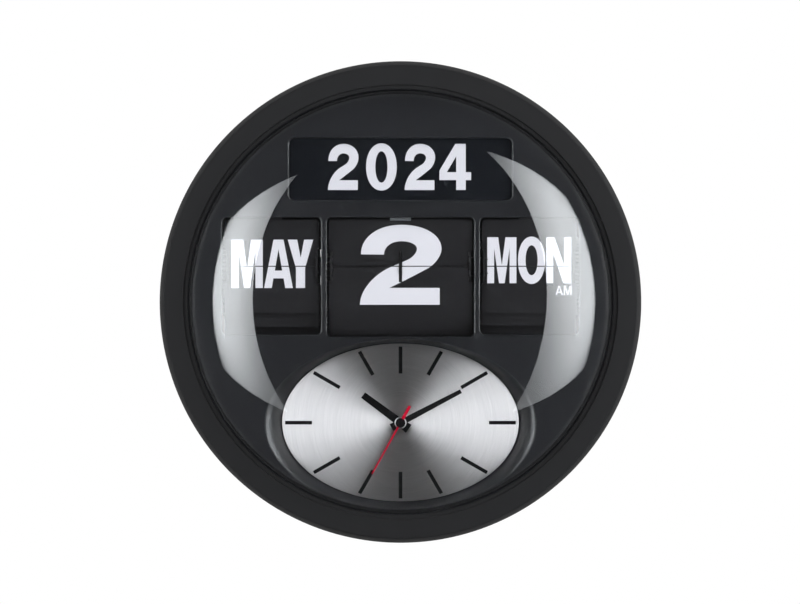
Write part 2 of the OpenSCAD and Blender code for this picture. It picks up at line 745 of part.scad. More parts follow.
// A folded strip: one leg lies along the carriers, the other is screwed to the posts
module rail(z, up, front) color(steel) difference() {
    length = 2 * end_x + carrier_t;
    leg_z = up > 0 ? z : z - rail_t;
    flange_z = up > 0 ? z : z - rail_flange_h;
    union() {
        translate([-length / 2, -front, leg_z]) cube([length, front - chassis_back, rail_t]);
        translate([-length / 2, -chassis_back - rail_t, flange_z])
            cube([length, rail_t, rail_flange_h]);
    }
    at_posts() facing(chassis_back - 1) cylinder(r = screw_r + screw_gap, h = rail_t + 2, $fn = 24);
}

module drum_axle() color(steel) across(-end_x - carrier_t / 2 - 3)
    cylinder(r = axle_d / 2, h = 2 * end_x + carrier_t + 6, $fn = 48);

// Rings that hold the axle's two ends outside the end carriers
module axle_rings() color(steel)
    for (x = [-end_x - carrier_t / 2 - 1.5, end_x + carrier_t / 2])
        across(x) difference() {
            cylinder(r = axle_d / 2 + 2.5, h = 1.5, $fn = 32);
            translate([0, 0, -1]) cylinder(r = axle_d / 2, h = 3.5, $fn = 32);
        }

module chassis_screws() color(steel)
    at_posts() {
        facing(chassis_back - 5) cylinder(r = screw_r, h = 5 + rail_t + 0.5, $fn = 24);
        facing(chassis_back + rail_t) cylinder(r = screw_head_r, h = screw_head_t, $fn = 32);
    }

// Clock movement and hands

module movement() color(soft_black) translate([0, 0, dial_z]) difference() {
    union() {
        facing(movement_back) linear_extrude(movement_t) rounded(movement_w, movement_w, 4);
        facing(floor_back - 1) cylinder(r = stud_r, h = dial_front - floor_back + 3, $fn = 40);
    }
    facing(arbor_back) cylinder(r = hour_pipe_r + running_gap, h = 40, $fn = 40);
    translate([knob_x, 0, 0]) facing(movement_back - 1)
        cylinder(r = knob_stem_r + running_gap, h = 5, $fn = 32);
}

module movement_nut() color(silver) translate([0, 0, dial_z])
    facing(dial_front) difference() {
        cylinder(r = stud_r + nut_wall, h = nut_h, $fn = 6);
        translate([0, 0, -1]) cylinder(r = stud_r, h = 4, $fn = 40);
    }

// A flat hand that tapers from its hub to its tip, with a short flared tail
module hand_outline(length, tip_w, hub_w, tail, tail_w) {
    polygon([[-hub_w / 2, 0], [-tip_w / 2, length], [tip_w / 2, length], [hub_w / 2, 0]]);
    polygon([[-hub_w / 2, 0], [hub_w / 2, 0], [tail_w / 2, -tail], [-tail_w / 2, -tail]]);
    circle(hub_w / 2 + 0.6, $fn = 40);
}

module at_hand(angle) translate([0, 0, dial_z]) rotate([0, angle, 0]) children();

module hour_hand() color(black) at_hand(hour_angle) difference() {
    union() {
        facing(hour_depth) linear_extrude(hand_t)
            hand_outline(hour_l, hour_tip_w, hour_root_w, hand_tail, hour_root_w + 1.4);
        facing(arbor_back + 3) cylinder(r = hour_pipe_r,
            h = hour_depth + hand_t - arbor_back - 3, $fn = 40);
    }
    facing(arbor_back) cylinder(r = minute_pipe_r + running_gap, h = 60, $fn = 40);
}

module minute_hand() color(black) at_hand(minute_angle) difference() {
    union() {
        facing(minute_depth) linear_extrude(hand_t)
            hand_outline(minute_l, minute_tip_w, minute_root_w, hand_tail, minute_root_w + 1.4);
        facing(minute_depth) cylinder(r = 5, h = hand_t + 0.4, $fn = 48);
        facing(arbor_back + 1.5) cylinder(r = minute_pipe_r,
            h = minute_depth + hand_t - arbor_back - 1.5, $fn = 40);
    }
    facing(arbor_back) cylinder(r = second_pin_r + running_gap, h = 60, $fn = 40);
}

module second_hand() color(red) at_hand(second_angle) {
    facing(second_depth) linear_extrude(0.4) {
        polygon([[-0.8, 0], [-0.6, second_l], [0.6, second_l], [0.8, 0]]);
        translate([-1.25, -second_tail]) square([2.5, second_tail]);
    }
    facing(second_depth - 0.3) cylinder(r = 3.8, h = 2.2, $fn = 48);
    facing(arbor_back + 0.3) cylinder(r = second_pin_r,
        h = second_depth - arbor_back - 0.3, $fn = 32);
}

// A long stem that reaches from the movement to the back of the case
module time_set_knob() color(soft_black) translate([knob_x, 0, dial_z]) {
    ribs = 18;
    grip = [for (n = [0:2 * ribs - 1])
        (knob_r - (n % 2) * 0.8) * [cos(n * 180 / ribs), sin(n * 180 / ribs)]];
    facing(1) linear_extrude(8) polygon(grip);
    facing(8) cylinder(r = knob_stem_r, h = movement_back + 3.5 - 8, $fn = 32);
}

// Power

module cell(z, cap_side) color([0.2, 0.35, 0.6]) translate([bay_x, -cell_depth, z])
    rotate([0, cap_side * 90, 0]) {
        base = -bay_w / 2 + contact_t + spring_l;
        translate([0, 0, base]) cylinder(r = cell_r, h = cell_l, $fn = 64);
        translate([0, 0, base + cell_l - 0.5]) cylinder(r = 4.75, h = cap_l + 0.5, $fn = 32);
    }

module upper_battery() cell(cell_z[0], 1);
module lower_battery() cell(cell_z[1], -1);

// Contact plates at both ends of each cell, and a spring at its flat end
module battery_contacts() color(steel)
    for (n = [0, 1])
        translate([bay_x, -cell_depth, cell_z[n]]) rotate([0, n == 0 ? 90 : -90, 0]) {
            for (z = [-bay_w / 2, bay_w / 2 - contact_t])
                translate([-contact_w / 2, -contact_w / 2, z])
                    cube([contact_w, contact_w, contact_t]);
            translate([0, 0, -bay_w / 2 + contact_t]) difference() {
                cylinder(r = spring_r, h = spring_l, $fn = 32);
                translate([0, 0, spring_wall / 2])
                    cylinder(r = spring_r - spring_wall, h = spring_l, $fn = 32);
            }
        }

// The hinged door: a plate with two pins at its left edge and a finger notch
module battery_door() color(black) {
    left = hinge_x;
    right = bay_x + door_w / 2 - door_gap;
    height = door_h - 2 * door_gap;
    difference() {
        union() {
            translate([left, -door_sink - door_t, bay_z - height / 2])
                cube([right - left, door_t, height]);
            translate([hinge_x, -hinge_depth, bay_z])
                cylinder(r = hinge_pin_r, h = door_h + 1.8, center = true, $fn = 32);
        }
        translate([bay_x + door_w / 2 + 3, 0, bay_z]) facing(-1)
            cylinder(r = 8, h = door_t + 3, $fn = 40);
    }
}

module control_board() color([0.1, 0.35, 0.2]) translate([board_x, 0, board_z]) difference() {
    union() {
        facing(board_depth) linear_extrude(board_t) square([board_w, board_h], center = true);
        facing(board_depth + board_t) linear_extrude(chip_t)
            for (x = [-board_w / 5, board_w / 6])
                translate([x, board_h / 20]) square([chip_w, chip_h], center = true);
        translate([board_w * 0.37, 0, -board_h * 0.22]) facing(board_depth + board_t)
            cylinder(r = can_r, h = can_l, $fn = 32);
        facing(board_depth + board_t) linear_extrude(plug_l)
            translate([0, plug_h / 2 + board_edge - board_h / 2]) square([plug_w, plug_h], center = true);
        translate([board_w * 0.4, 0, board_h * 0.29]) facing(board_depth + board_t)
            linear_extrude(crystal_t) rounded(2 * crystal_h, crystal_h, crystal_h / 2 - 0.1);
    }
    translate([-board_x, 0, -board_z]) at_board_corners() facing(board_depth - 1)
        cylinder(r = screw_r + running_gap, h = board_t + 2, $fn = 24);
}

// A lead along a few points, as blocks of round section with a ball at each bend
module lead(points)
    for (n = [0:len(points) - 2]) hull() {
        translate(points[n]) sphere(r = lead_r, $fn = 8);
        translate(points[n + 1]) sphere(r = lead_r, $fn = 8);
    }

// Leads from the batteries to the board, and from there to the movement and motors
module wiring() color([0.7, 0.1, 0.1]) {
    top = -board_depth - board_t - lead_r;
    bay_left = bay_x - bay_w / 2 - bay_wall - lead_r;
    right = board_x + board_w / 2;
    side = end_x + carrier_t / 2 + motor_l / 2;
    foot = axle_z - set_distance - motor_r - lead_r;
    path_z = low_rail_z - rail_flange_h - 2;
    for (s = [0, 5]) lead([[bay_left, -20, bay_z + 12 + s], [bay_left - 8, -20, bay_z + 12 + s],
        [right + 6, top, bay_z + 12 + s], [right - 3, top, bay_z + 12 + s]]);
    lead([[right - 3, top, board_z - 10], [right + 8, -20, board_z - 10],
        [-movement_w / 2 - 5, -movement_back - 8, dial_z + 6],
        [-movement_w / 2 - lead_r, -movement_back - 8, dial_z + 6]]);
    lead([[board_x - board_w / 2 + 3, top, board_z + 5], [-side, top, board_z + 25],
        [-side, -20, foot - 12], [-side, -axle_depth, foot]]);
    lead([[right - 3, top, board_z + 15], [right + 10, top, path_z], [side - 12, top, path_z],
        [side, -20, foot - 12], [side, -axle_depth, foot]]);
    lead([[right - 12, top, board_z + 15], [right - 12, top, path_z],
        [-mid_x - motor_l / 2, -40, axle_z - date_motor_drop - motor_r - 6],
        [-mid_x - motor_l / 2, -axle_depth, axle_z - date_motor_drop - motor_r - lead_r]]);
}

rear_case();
front_ring();
dome();
dome_gasket();
dial_plate();
silver_dial();
hour_markers();
year_card();
year_card_holder();
carrier(-end_x, MONTH, true);  // left_end_carrier
carrier(-mid_x, DATE, true);  // left_mid_carrier
carrier(mid_x, DATE, false);  // right_mid_carrier
carrier(end_x, WEEKDAY, true);  // right_end_carrier
rail(rail_z, 1, rail_front);  // top_rail
rail(low_rail_z, -1, low_rail_front);  // bottom_rail
drum_axle();
axle_rings();
drum(MONTH);  // month_drum
drum(DATE);  // date_drum
drum(WEEKDAY);  // weekday_drum
drum_gear(MONTH);  // month_gear
drum_gear(DATE);  // date_gear
drum_gear(WEEKDAY);  // weekday_gear
leaves(MONTH);  // month_leaves
leaves(DATE);  // date_leaves
leaves(WEEKDAY);  // weekday_leaves
lower_leaf(MONTH);  // month_lower_leaf
lower_leaf(DATE);  // date_lower_leaf
lower_leaf(WEEKDAY);  // weekday_lower_leaf
falling_leaf(MONTH);  // month_falling_leaf
falling_leaf(DATE);  // date_falling_leaf
falling_leaf(WEEKDAY);  // weekday_falling_leaf
retainer(MONTH);  // month_retainer
retainer(DATE);  // date_retainer
retainer(WEEKDAY);  // weekday_retainer
set_wheel(MONTH);  // month_set_wheel
set_wheel(DATE);  // date_set_wheel
set_wheel(WEEKDAY);  // weekday_set_wheel
motor(MONTH);  // month_motor
motor(DATE);  // date_motor
motor(WEEKDAY);  // weekday_motor
motor_pinion(MONTH);  // month_motor_pinion
motor_pinion(DATE);  // date_motor_pinion
motor_pinion(WEEKDAY);  // weekday_motor_pinion
date_idler_gear();
movement();
movement_nut();
hour_hand();
minute_hand();
second_hand();
time_set_knob();
upper_battery();
lower_battery();
battery_contacts();
battery_door();
control_board();
wiring();
hanger_plate();
ring_fasteners();
chassis_screws();
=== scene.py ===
"""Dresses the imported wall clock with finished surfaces, prints, light and a camera.

The front faces -Y, the back lies on the plane y = 0 and +Z is up. A depth is a
distance from the wall towards the viewer, so it is minus y. Lengths are metres.
"""
import json
import math

import bmesh
import bpy
import numpy as np
from bpy.props import FloatProperty, FloatVectorProperty, IntProperty, PointerProperty
from mathutils import Matrix, Vector
from mathutils.geometry import tessellate_polygon


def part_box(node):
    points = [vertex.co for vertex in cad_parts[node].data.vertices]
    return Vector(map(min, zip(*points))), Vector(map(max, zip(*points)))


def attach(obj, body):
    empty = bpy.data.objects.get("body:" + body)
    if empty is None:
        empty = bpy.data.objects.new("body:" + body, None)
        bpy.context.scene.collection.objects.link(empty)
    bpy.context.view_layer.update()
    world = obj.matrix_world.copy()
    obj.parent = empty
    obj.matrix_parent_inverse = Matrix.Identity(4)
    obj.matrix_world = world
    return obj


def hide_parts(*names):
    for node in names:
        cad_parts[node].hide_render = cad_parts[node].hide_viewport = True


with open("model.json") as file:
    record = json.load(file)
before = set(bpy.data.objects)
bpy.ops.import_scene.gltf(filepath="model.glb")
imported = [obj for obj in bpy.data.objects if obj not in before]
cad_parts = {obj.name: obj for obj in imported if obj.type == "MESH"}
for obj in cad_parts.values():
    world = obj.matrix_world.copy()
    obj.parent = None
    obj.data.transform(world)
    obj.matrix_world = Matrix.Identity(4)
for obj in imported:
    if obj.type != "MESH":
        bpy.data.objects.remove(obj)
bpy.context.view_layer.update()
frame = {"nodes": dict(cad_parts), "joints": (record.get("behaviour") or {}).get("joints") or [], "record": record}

bl_info = {
    "name": "Flip wall clock",
    "version": (1, 0, 0),
    "blender": (4, 5, 0),
    "location": "3D View > Sidebar > Clock",
    "description": "Finishes the round wall clock with falling leaves under a clear dome",
    "category": "Object",
}

NODES = frame["nodes"]
JOINTS = {joint["name"]: joint for joint in frame["joints"]}
BEHAVIOUR = frame["record"]["behaviour"]
BODY_OF = {node: body for body, nodes in BEHAVIOUR["bodies"].items() for node in nodes}
RATIO = {c["joint"]: c["ratio"] for c in BEHAVIOUR["couplings"]}
MODULES = ("month", "date", "weekday")
MM = 0.001

# Places that the model gives: the drums' axle and the middle of the oval dial
AXLE_Y, AXLE_Z = JOINTS["date_drum_step"]["pos_m"][1:]
DIAL_Z = JOINTS["minute_hand_turn"]["pos_m"][2]
HUB = (0, 0, DIAL_Z)


# Sizes and colours

def colour(name, text, value):
    """A colour property whose value is written as the eye sees it, from 0 to 255."""
    linear = [(v / 255 / 12.92) if v <= 10 else ((v / 255 + 0.055) / 1.055) ** 2.4
              for v in value]
    return FloatVectorProperty(name=name, description=text, subtype="COLOR", size=3,
                               min=0, max=1, default=linear)


def length(name, text, value):
    return FloatProperty(name=name, description=text, default=value, min=0, unit="LENGTH",
                         precision=5)


def amount(name, text, value):
    return FloatProperty(name=name, description=text, default=value, min=0)


class ClockSizes(bpy.types.PropertyGroup):
    print_t: length("Print thickness", "How far the white print stands proud", 0.06 * MM)
    plate_edge: length("Plate edge", "Rounding of the dial plate's edges", 0.3 * MM)
    fine_edge: length("Fine edge", "Rounding of small moulded parts", 0.3 * MM)
    hand_edge: length("Hand edge", "Rounding of the hands", 0.12 * MM)
    ring_bevel: length("Ring bevel", "Width of the bevel on the ring's edge", 3.8 * MM)
    turns: IntProperty(name="Turns", description="Steps round the dome and the ring",
                       default=256, min=32, max=512)


class ClockColours(bpy.types.PropertyGroup):
    ring: colour("Ring", "Matt front ring", (29, 29, 30))
    case: colour("Case", "Rear case and battery door", (32, 32, 33))
    plate: colour("Dial plate", "Bluish black plate behind the dome", (25, 26, 29))
    leaf: colour("Leaves", "Matt black leaves", (31, 31, 33))
    card: colour("Year card", "Dark card behind the year", (9, 12, 17))
    ink: colour("Print", "White print on leaves and card", (226, 227, 235))
    silver: colour("Silver dial", "Brushed metal of the oval dial", (222, 219, 219))
    marker: colour("Markers", "Hour markers", (12, 12, 13))
    hand: colour("Hands", "Hour and minute hand", (14, 14, 15))
    second: colour("Second hand", "Red second hand", (186, 8, 44))
    steel: colour("Zinc steel", "Carrier plates, rails and screws", (176, 180, 184))
    gear: colour("Gears", "Dark wheels of the drive", (44, 44, 46))
    nickel: colour("Nickel", "Nut of the movement", (190, 190, 190))
    sleeve: colour("Cell sleeve", "Sleeve of the battery cells", (42, 66, 110))
    board: colour("Board", "Lacquered control board", (28, 92, 56))
    wire: colour("Leads", "Insulation of the leads", (168, 34, 32))


class ClockLight(bpy.types.PropertyGroup):
    mirror: amount("Lamp shine", "How bright the dome mirrors the two soft boxes", 8.4)
    lamp: amount("Lamp light", "How bright the two soft boxes light dull surfaces", 3.3)
    top: amount("Top light", "Brightness of the soft light above", 3.2)
    fill: amount("Fill", "Even light from the front", 0.13)
    back: amount("Back fill", "Even light from behind the clock", 3.0)
    distance: length("Camera distance", "From the camera to the front ring", 3.0)


# Meshes

def grid_faces(rows, cols, wrap_rows=False, wrap_cols=True):
    """Four corners of each cell of a grid of rows times cols points, as an index array."""
    i = np.arange(rows if wrap_rows else rows - 1)[:, None]
    j = np.arange(cols if wrap_cols else cols - 1)[None, :]
    i, j = np.broadcast_arrays(i, j)
    below, beside = (i + 1) % rows, (j + 1) % cols
    return np.stack([i * cols + j, i * cols + beside, below * cols + beside,
                     below * cols + j], -1).reshape(-1, 4)


def new_mesh(name, points, faces):
    mesh = bpy.data.meshes.new(name)
    mesh.from_pydata(points.reshape(-1, 3).tolist(), [], faces.tolist())
    return mesh


def weld(mesh):
    """Merges doubles, drops faces without area and turns the others outwards."""
    bm = bmesh.new()
    bm.from_mesh(mesh)
    bmesh.ops.remove_doubles(bm, verts=bm.verts, dist=1e-6)
    bmesh.ops.dissolve_degenerate(bm, dist=1e-7, edges=bm.edges)
    bmesh.ops.recalc_face_normals(bm, faces=bm.faces)
    bm.to_mesh(mesh)
    bm.free()


def stand(name, data):
    """A new object in the scene."""
    item = bpy.data.objects.new(name, data)
    bpy.context.scene.collection.objects.link(item)
    return item


def finish_piece(name, mesh, body, sharp):
    """A smooth piece on one body, whose edges are sharp from an angle of sharp degrees."""
    mesh.shade_smooth()
    mesh.set_sharp_from_angle(angle=math.radians(sharp))
    piece = stand(name, mesh)
    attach(piece, body)
    return piece


def make_piece(name, grids, body, sharp=35, wrap_rows=True):
    """A closed piece from grids of points, all of the same number of rows and columns."""
    grids = np.asarray(grids)
    count, rows, cols = grids.shape[:3]
    cells = grid_faces(rows, cols, wrap_rows=wrap_rows)
    mesh = new_mesh(name, grids,
                    np.concatenate([cells + n * rows * cols for n in range(count)]))
    weld(mesh)
    return finish_piece(name, mesh, body, sharp)


def ring_points(reach_x, reach_z, depth, steps, centre=(0, 0)):
    """A row of points round Y for each entry of three arrays: x = X + reach_x sin f,
    y = -depth, z = Z + reach_z cos f, where centre = (X, Z)."""
    f = np.arange(steps) * 2 * np.pi / steps
    reach_x, reach_z, depth = (np.asarray(v)[:, None] for v in (reach_x, reach_z, depth))
    return np.stack([centre[0] + reach_x * np.sin(f), -depth + 0 * f,
                     centre[1] + reach_z * np.cos(f)], -1)


def turned(name, profile, body, turns, centre=(0, 0), sharp=35):
    """A turned piece, whose profile is a closed loop of points (r, depth)."""
    r, depth = np.array(profile, float).T
    return make_piece(name, [ring_points(r, r, depth, turns, centre)], body, sharp)


def arc(centre, radius, start, end, steps):
    """Points of a circular arc in the (r, depth) plane: centre + radius (cos a, sin a)."""
    a = np.radians(np.linspace(start, end, steps))
    return [(centre[0] + radius * math.cos(t), centre[1] + radius * math.sin(t)) for t in a]


def merged(node):
    """An editable copy of a CAD node's mesh, with its doubles merged."""
    bm = bmesh.new()
    bm.from_mesh(NODES[node].data)
    bmesh.ops.remove_doubles(bm, verts=bm.verts, dist=2e-6)
    return bm


def eased(node, edge, finish, angle=32, segments=2):
    """A painted copy of a CAD node with its flat faces joined and its edges rounded. It
    stands for the node and rides on the same body."""
    bm = merged(node)
    bmesh.ops.dissolve_limit(bm, angle_limit=math.radians(0.5), verts=bm.verts,
                             edges=bm.edges)
    name = node + "_finished"
    mesh = bpy.data.meshes.new(name)
    bm.to_mesh(mesh)
    bm.free()
    piece = finish_piece(name, mesh, BODY_OF[node], angle)
    if edge:
        bevel = piece.modifiers.new("Rounded edges", "BEVEL")
        bevel.width, bevel.segments, bevel.angle_limit = edge, segments, math.radians(angle)
        bevel.limit_method = "ANGLE"
    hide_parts(node)
    return paint(piece, finish)


def paint(piece, finish):
    """Gives a piece, or the CAD node of that name, one material all over."""
    piece = NODES[piece] if isinstance(piece, str) else piece
    piece.data.materials.clear()
    piece.data.materials.append(material(finish))
    return piece


def ring_screws():
    """Middle and highest corner of each screw that holds the front ring. They are the
    separate solids of their node that lie more than 185 mm from the middle."""
    bm = merged("ring_fasteners")
    bm.verts.index_update()
    seen, found = set(), []
    for vert in bm.verts:
        group, stack = [], [vert]
        while stack:
            here = stack.pop()
            if here.index not in seen:
                seen.add(here.index)
                group.append(tuple(here.co))
                stack += [edge.other_vert(here) for edge in here.link_edges]
        if group:
            low, high = np.min(group, 0), np.max(group, 0)
            middle = (low + high) / 2
            if math.hypot(middle[0], middle[2]) > 185 * MM:
                found.append((middle, high))
    bm.free()
    return found


# Lettering: an outline is a list of stops in cap heights. Two numbers are a corner. Four
# are a curve to (c, d) that bows towards the corner (a, b). The table has them as texts,
# with commas between the stops. Its small letters are light capitals.

BOW = 0.58


def stops(text):
    return [tuple(map(float, stop.split())) for stop in text.split(",")]


GLYPHS = {letter: (wide, [stops(text) for text in texts]) for letter, wide, *texts in (
    ("2", 0.664, ".008 .63, .008 1 .336 1, .664 1 .664 .698, .664 .57 .566 .467, "
     ".43 .35 .24 .211, .649 .211, .649 0, 0 0, 0 .3 .253 .474, .389 .562, "
     ".464 .62 .464 .699, .464 .794 .336 .794, .196 .794 .196 .627"),
    ("4", 0.688,
     "0 .215, .365 .215, .365 0, .572 0, .572 .215, .688 .215, .688 .386, .572 .386, "
     ".572 1, .345 1, 0 .42",
     ".161 .386, .365 .386, .365 .73"),
    ("3", 0.664, ".02 .7, .02 1 .33 1, .634 1 .634 .73, .634 .56 .5 .52, .66 .46 .66 .28, "
     ".66 0 .33 0, 0 0 0 .33, .192 .33, .192 .2 .33 .2, .462 .2 .462 .31, "
     ".462 .42 .33 .42, .264 .42, .264 .59, .33 .59, .442 .59 .442 .7, "
     ".442 .8 .33 .8, .211 .8 .211 .7"),
    ("M", 0.654,
     "0 0, 0 1, .245 1, .327 .4, .409 1, .654 1, .654 0, .5 0, .5 .76, .39 0, .264 0, "
     ".154 .76, .154 0"),
    ("A", 0.598, "0 0, .195 1, .403 1, .598 0, .44 0, .405 .2, .193 .2, .158 0",
     ".222 .36, .299 .8, .376 .36"),
    ("Y", 0.529, ".17 0, .17 .41, 0 1, .195 1, .268 .63, .34 1, .529 1, .359 .41, .359 0"),
    ("N", 0.56,
     "0 0, 0 1, .18 1, .405 .37, .405 1, .56 1, .56 0, .385 0, .155 .64, .155 0"),
    ("J", 0.45,
     ".45 1, .29 1, .29 .32, .29 .18 .215 .18, .15 .18 .15 .3, .15 .36, 0 .36, 0 .28, "
     "0 0 .215 0, .45 0 .45 .3"),
    ("U", 0.56, "0 1, 0 .3, 0 0 .28 0, .56 0 .56 .3, .56 1, .4 1, .4 .3, .4 .17 .28 .17, "
     ".16 .17 .16 .3, .16 1"),
    ("P", 0.55, "0 0, 0 1, .3 1, .55 1 .55 .7, .55 .4 .3 .4, .16 .4, .16 0",
     ".16 .84, .28 .84, .39 .84 .39 .7, .39 .56 .28 .56, .16 .56"),
    ("a", 0.8, "0 0, .32 1, .48 1, .8 0, .65 0, .575 .24, .225 .24, .15 0",
     ".265 .37, .4 .8, .535 .37"),
    ("m", 0.83,
     "0 0, 0 1, .19 1, .415 .3, .64 1, .83 1, .83 0, .7 0, .7 .72, .475 0, .355 0, "
     ".13 .72, .13 0"),
    ("p", 0.7, "0 0, 0 1, .4 1, .7 1 .7 .72, .7 .43 .4 .43, .14 .43, .14 0",
     ".14 .87, .38 .87, .56 .87 .56 .72, .56 .56 .38 .56, .14 .56"),
    ("0", 0.68, ".34 1.012, .674 1.012 .674 .5, .674 -.012 .34 -.012, "
     ".006 -.012 .006 .5, .006 1.012 .34 1.012",
     ".34 .84, .472 .84 .472 .5, .472 .16 .34 .16, .208 .16 .208 .5, "
     ".208 .84 .34 .84"),
    ("O", 0.61, ".305 1.015, .61 1.015 .61 .5, .61 -.015 .305 -.015, "
     "0 -.015 0 .5, 0 1.015 .305 1.015",
     ".305 .825, .44 .825 .44 .5, .44 .175 .305 .175, "
     ".17 .175 .17 .5, .17 .825 .305 .825"),
)}
SPACE = {"MA": 0.027, "AY": -0.106, "MO": 0.035, "ON": 0.025, "20": 0.158, "02": 0.165,
         "24": 0.093, "JU": 0.05, "UN": 0.05, "am": 0.08, "pm": 0.10}


def traced(outline):
    """The outline's points, with each bowed stretch as a cubic curve of 14 steps whose two
    handles reach BOW of the way to its corner."""
    points = [np.array(outline[0][-2:], float)]
    for stop in outline[1:]:
        if len(stop) == 2:
            points.append(np.array(stop, float))
            continue
        start, corner, end = points[-1], np.array(stop[:2]), np.array(stop[2:])
        t = np.linspace(0, 1, 15)[1:, None]
        a, b = start + BOW * (corner - start), end + BOW * (corner - end)
        curve = ((1 - t) ** 3 * start + 3 * t * (1 - t) ** 2 * a + 3 * t * t * (1 - t) * b
                 + t ** 3 * end)
        points.extend(curve)
    if np.allclose(points[0], points[-1], atol=1e-6):
        points.pop()
    return np.array(points)


def lettering(name, word, box, front, body, thick, split=None, notch=None, place=None):
    """Closed flat print of a word, fitted to box = (left, right, bottom, top), whose back
    lies at depth front. split = (height, side) keeps the part above (1) or below (-1),
    notch = (x, half width, low, high) is left out, and place moves the print from where
    it is read to where its leaf stands at rest."""
    bm = bmesh.new()
    left, right, bottom, top = box
    run, starts = 0.0, []
    for n, letter in enumerate(word):
        starts.append(run)
        run += GLYPHS[letter][0] + (SPACE.get(word[n:n + 2], 0) if n + 1 < len(word) else 0)
    wide, high = (right - left) / run, top - bottom
    for letter, start in zip(word, starts):
        loops = [traced(loop) for loop in GLYPHS[letter][1]]
        flat = [[Vector((left + (start + u) * wide, -front, bottom + v * high))
                 for u, v in loop] for loop in loops]
        verts = [bm.verts.new(p) for loop in flat for p in loop]
        for face in tessellate_polygon(flat):
            try:
                bm.faces.new([verts[k] for k in face])
            except ValueError:
                pass

    def cut(point, normal, outer=False, inner=False):
        bmesh.ops.bisect_plane(bm, geom=bm.verts[:] + bm.edges[:] + bm.faces[:], dist=1e-8,
                               plane_co=point, plane_no=normal, clear_outer=outer,
                               clear_inner=inner)
    if split:
        height, side = split
        cut((0, 0, height), (0, 0, 1), outer=side < 0, inner=side > 0)
    if notch:
        middle, half, low, high = notch
        for x in (middle - half, middle + half):
            cut((x, 0, 0), (1, 0, 0))
        for z in (low, high):
            cut((0, 0, z), (0, 0, 1))
        centres = [(face, face.calc_center_median()) for face in bm.faces]
        gone = [face for face, centre in centres
                if abs(centre.x - middle) < half and low < centre.z < high]
        bmesh.ops.delete(bm, geom=gone, context="FACES")
    bmesh.ops.dissolve_limit(bm, angle_limit=0.01, verts=bm.verts, edges=bm.edges)
    raised = bmesh.ops.extrude_face_region(bm, geom=bm.faces[:])
    moved = [v for v in raised["geom"] if isinstance(v, bmesh.types.BMVert)]
    bmesh.ops.translate(bm, vec=(0, -thick, 0), verts=moved)
    bmesh.ops.recalc_face_normals(bm, faces=bm.faces)
    if place:
        bmesh.ops.transform(bm, matrix=place, verts=bm.verts)
    mesh = bpy.data.meshes.new(name)
    bm.to_mesh(mesh)
    bm.free()
    return finish_piece(name, mesh, body, 30)


# Materials

def feed(tree, node, inputs):
    """Sets inputs of a node: a value is entered, and another node's output is linked."""
    for socket, given in inputs.items():
        if isinstance(given, bpy.types.NodeSocket):
            tree.links.new(given, node.inputs[socket])
        else:
            node.inputs[socket].default_value = given


def put(tree, kind, inputs=(), **settings):
    node = tree.nodes.new("ShaderNode" + kind)
    for key, value in settings.items():
        setattr(node, key, value)
    feed(tree, node, dict(inputs))
    return node


def calc(tree, operation, *inputs, kind="Math", **settings):
    """The result of a Math or VectorMath node."""
    node = put(tree, kind, enumerate(inputs), operation=operation, **settings)
    return node.outputs["Value" if kind == "Math" or operation == "LENGTH" else "Vector"]


def noise(tree, where, scale, **inputs):
    return put(tree, "TexNoise", {"Vector": where, "Scale": scale, **inputs}).outputs[0]


def ramp(tree, value, start, end, low, high, **settings):
    """What a value from start to end becomes on a scale from low to high."""
    return put(tree, "MapRange", {"Value": value, "From Min": start, "From Max": end,
                                  "To Min": low, "To Max": high}, **settings).outputs[0]


def blend(tree, share, a, b, kind="RGBA"):
    """A mix of two colours, or of two values if kind is FLOAT."""
    return put(tree, "Mix", {"Factor": share, "A": a, "B": b},
               data_type=kind).outputs["Result"]


def relief(tree, height, strength, reach):
    return put(tree, "Bump", {"Height": height, "Strength": strength,
                              "Distance": reach}).outputs[0]


def new_group(name, scale, outputs):
    """An empty shader node group with the inputs Vector and Scale."""
    tree = bpy.data.node_groups.new(name, "ShaderNodeTree")
    socket = tree.interface.new_socket
    socket(name="Vector", in_out="INPUT", socket_type="NodeSocketVector")
    size = socket(name="Scale", in_out="INPUT", socket_type="NodeSocketFloat")
    size.default_value = scale
    for label in outputs:
        socket(name=label, in_out="OUTPUT", socket_type="NodeSocketFloat")
    given = tree.nodes.new("NodeGroupInput").outputs
    return tree, given["Vector"], given["Scale"], tree.nodes.new("NodeGroupOutput")


def moulded_grain(name):
    """Fine moulded texture: two sizes of noise make the height, a slow one the tone."""
    tree, where, scale, out = new_group(name, 900.0, ("Tone", "Height"))
    fine = noise(tree, where, scale, Detail=3.0, Roughness=0.6)
    slow = noise(tree, where, calc(tree, "MULTIPLY", scale, 0.045), Detail=4.0,
                 Roughness=0.55)
    feed(tree, out, {"Tone": slow, "Height": calc(tree, "MULTIPLY_ADD", slow, 0.35, fine)})
    return tree


def drawn_lines(name):
    """Straight brushing: noise stretched along X, so its lines run from side to side."""
    tree, where, scale, out = new_group(name, 900.0, ("Tone", "Height"))
    stretch = put(tree, "Mapping", {"Vector": where, "Scale": (0.03, 1.0, 1.0)})
    lines = noise(tree, stretch.outputs[0], scale, Detail=4.0, Roughness=0.7)
    patches = calc(tree, "MULTIPLY", noise(tree, where, 60.0, Detail=2.0), 0.4)
    feed(tree, out, {"Tone": calc(tree, "MULTIPLY_ADD", lines, 0.6, patches),
                     "Height": lines})
    return tree


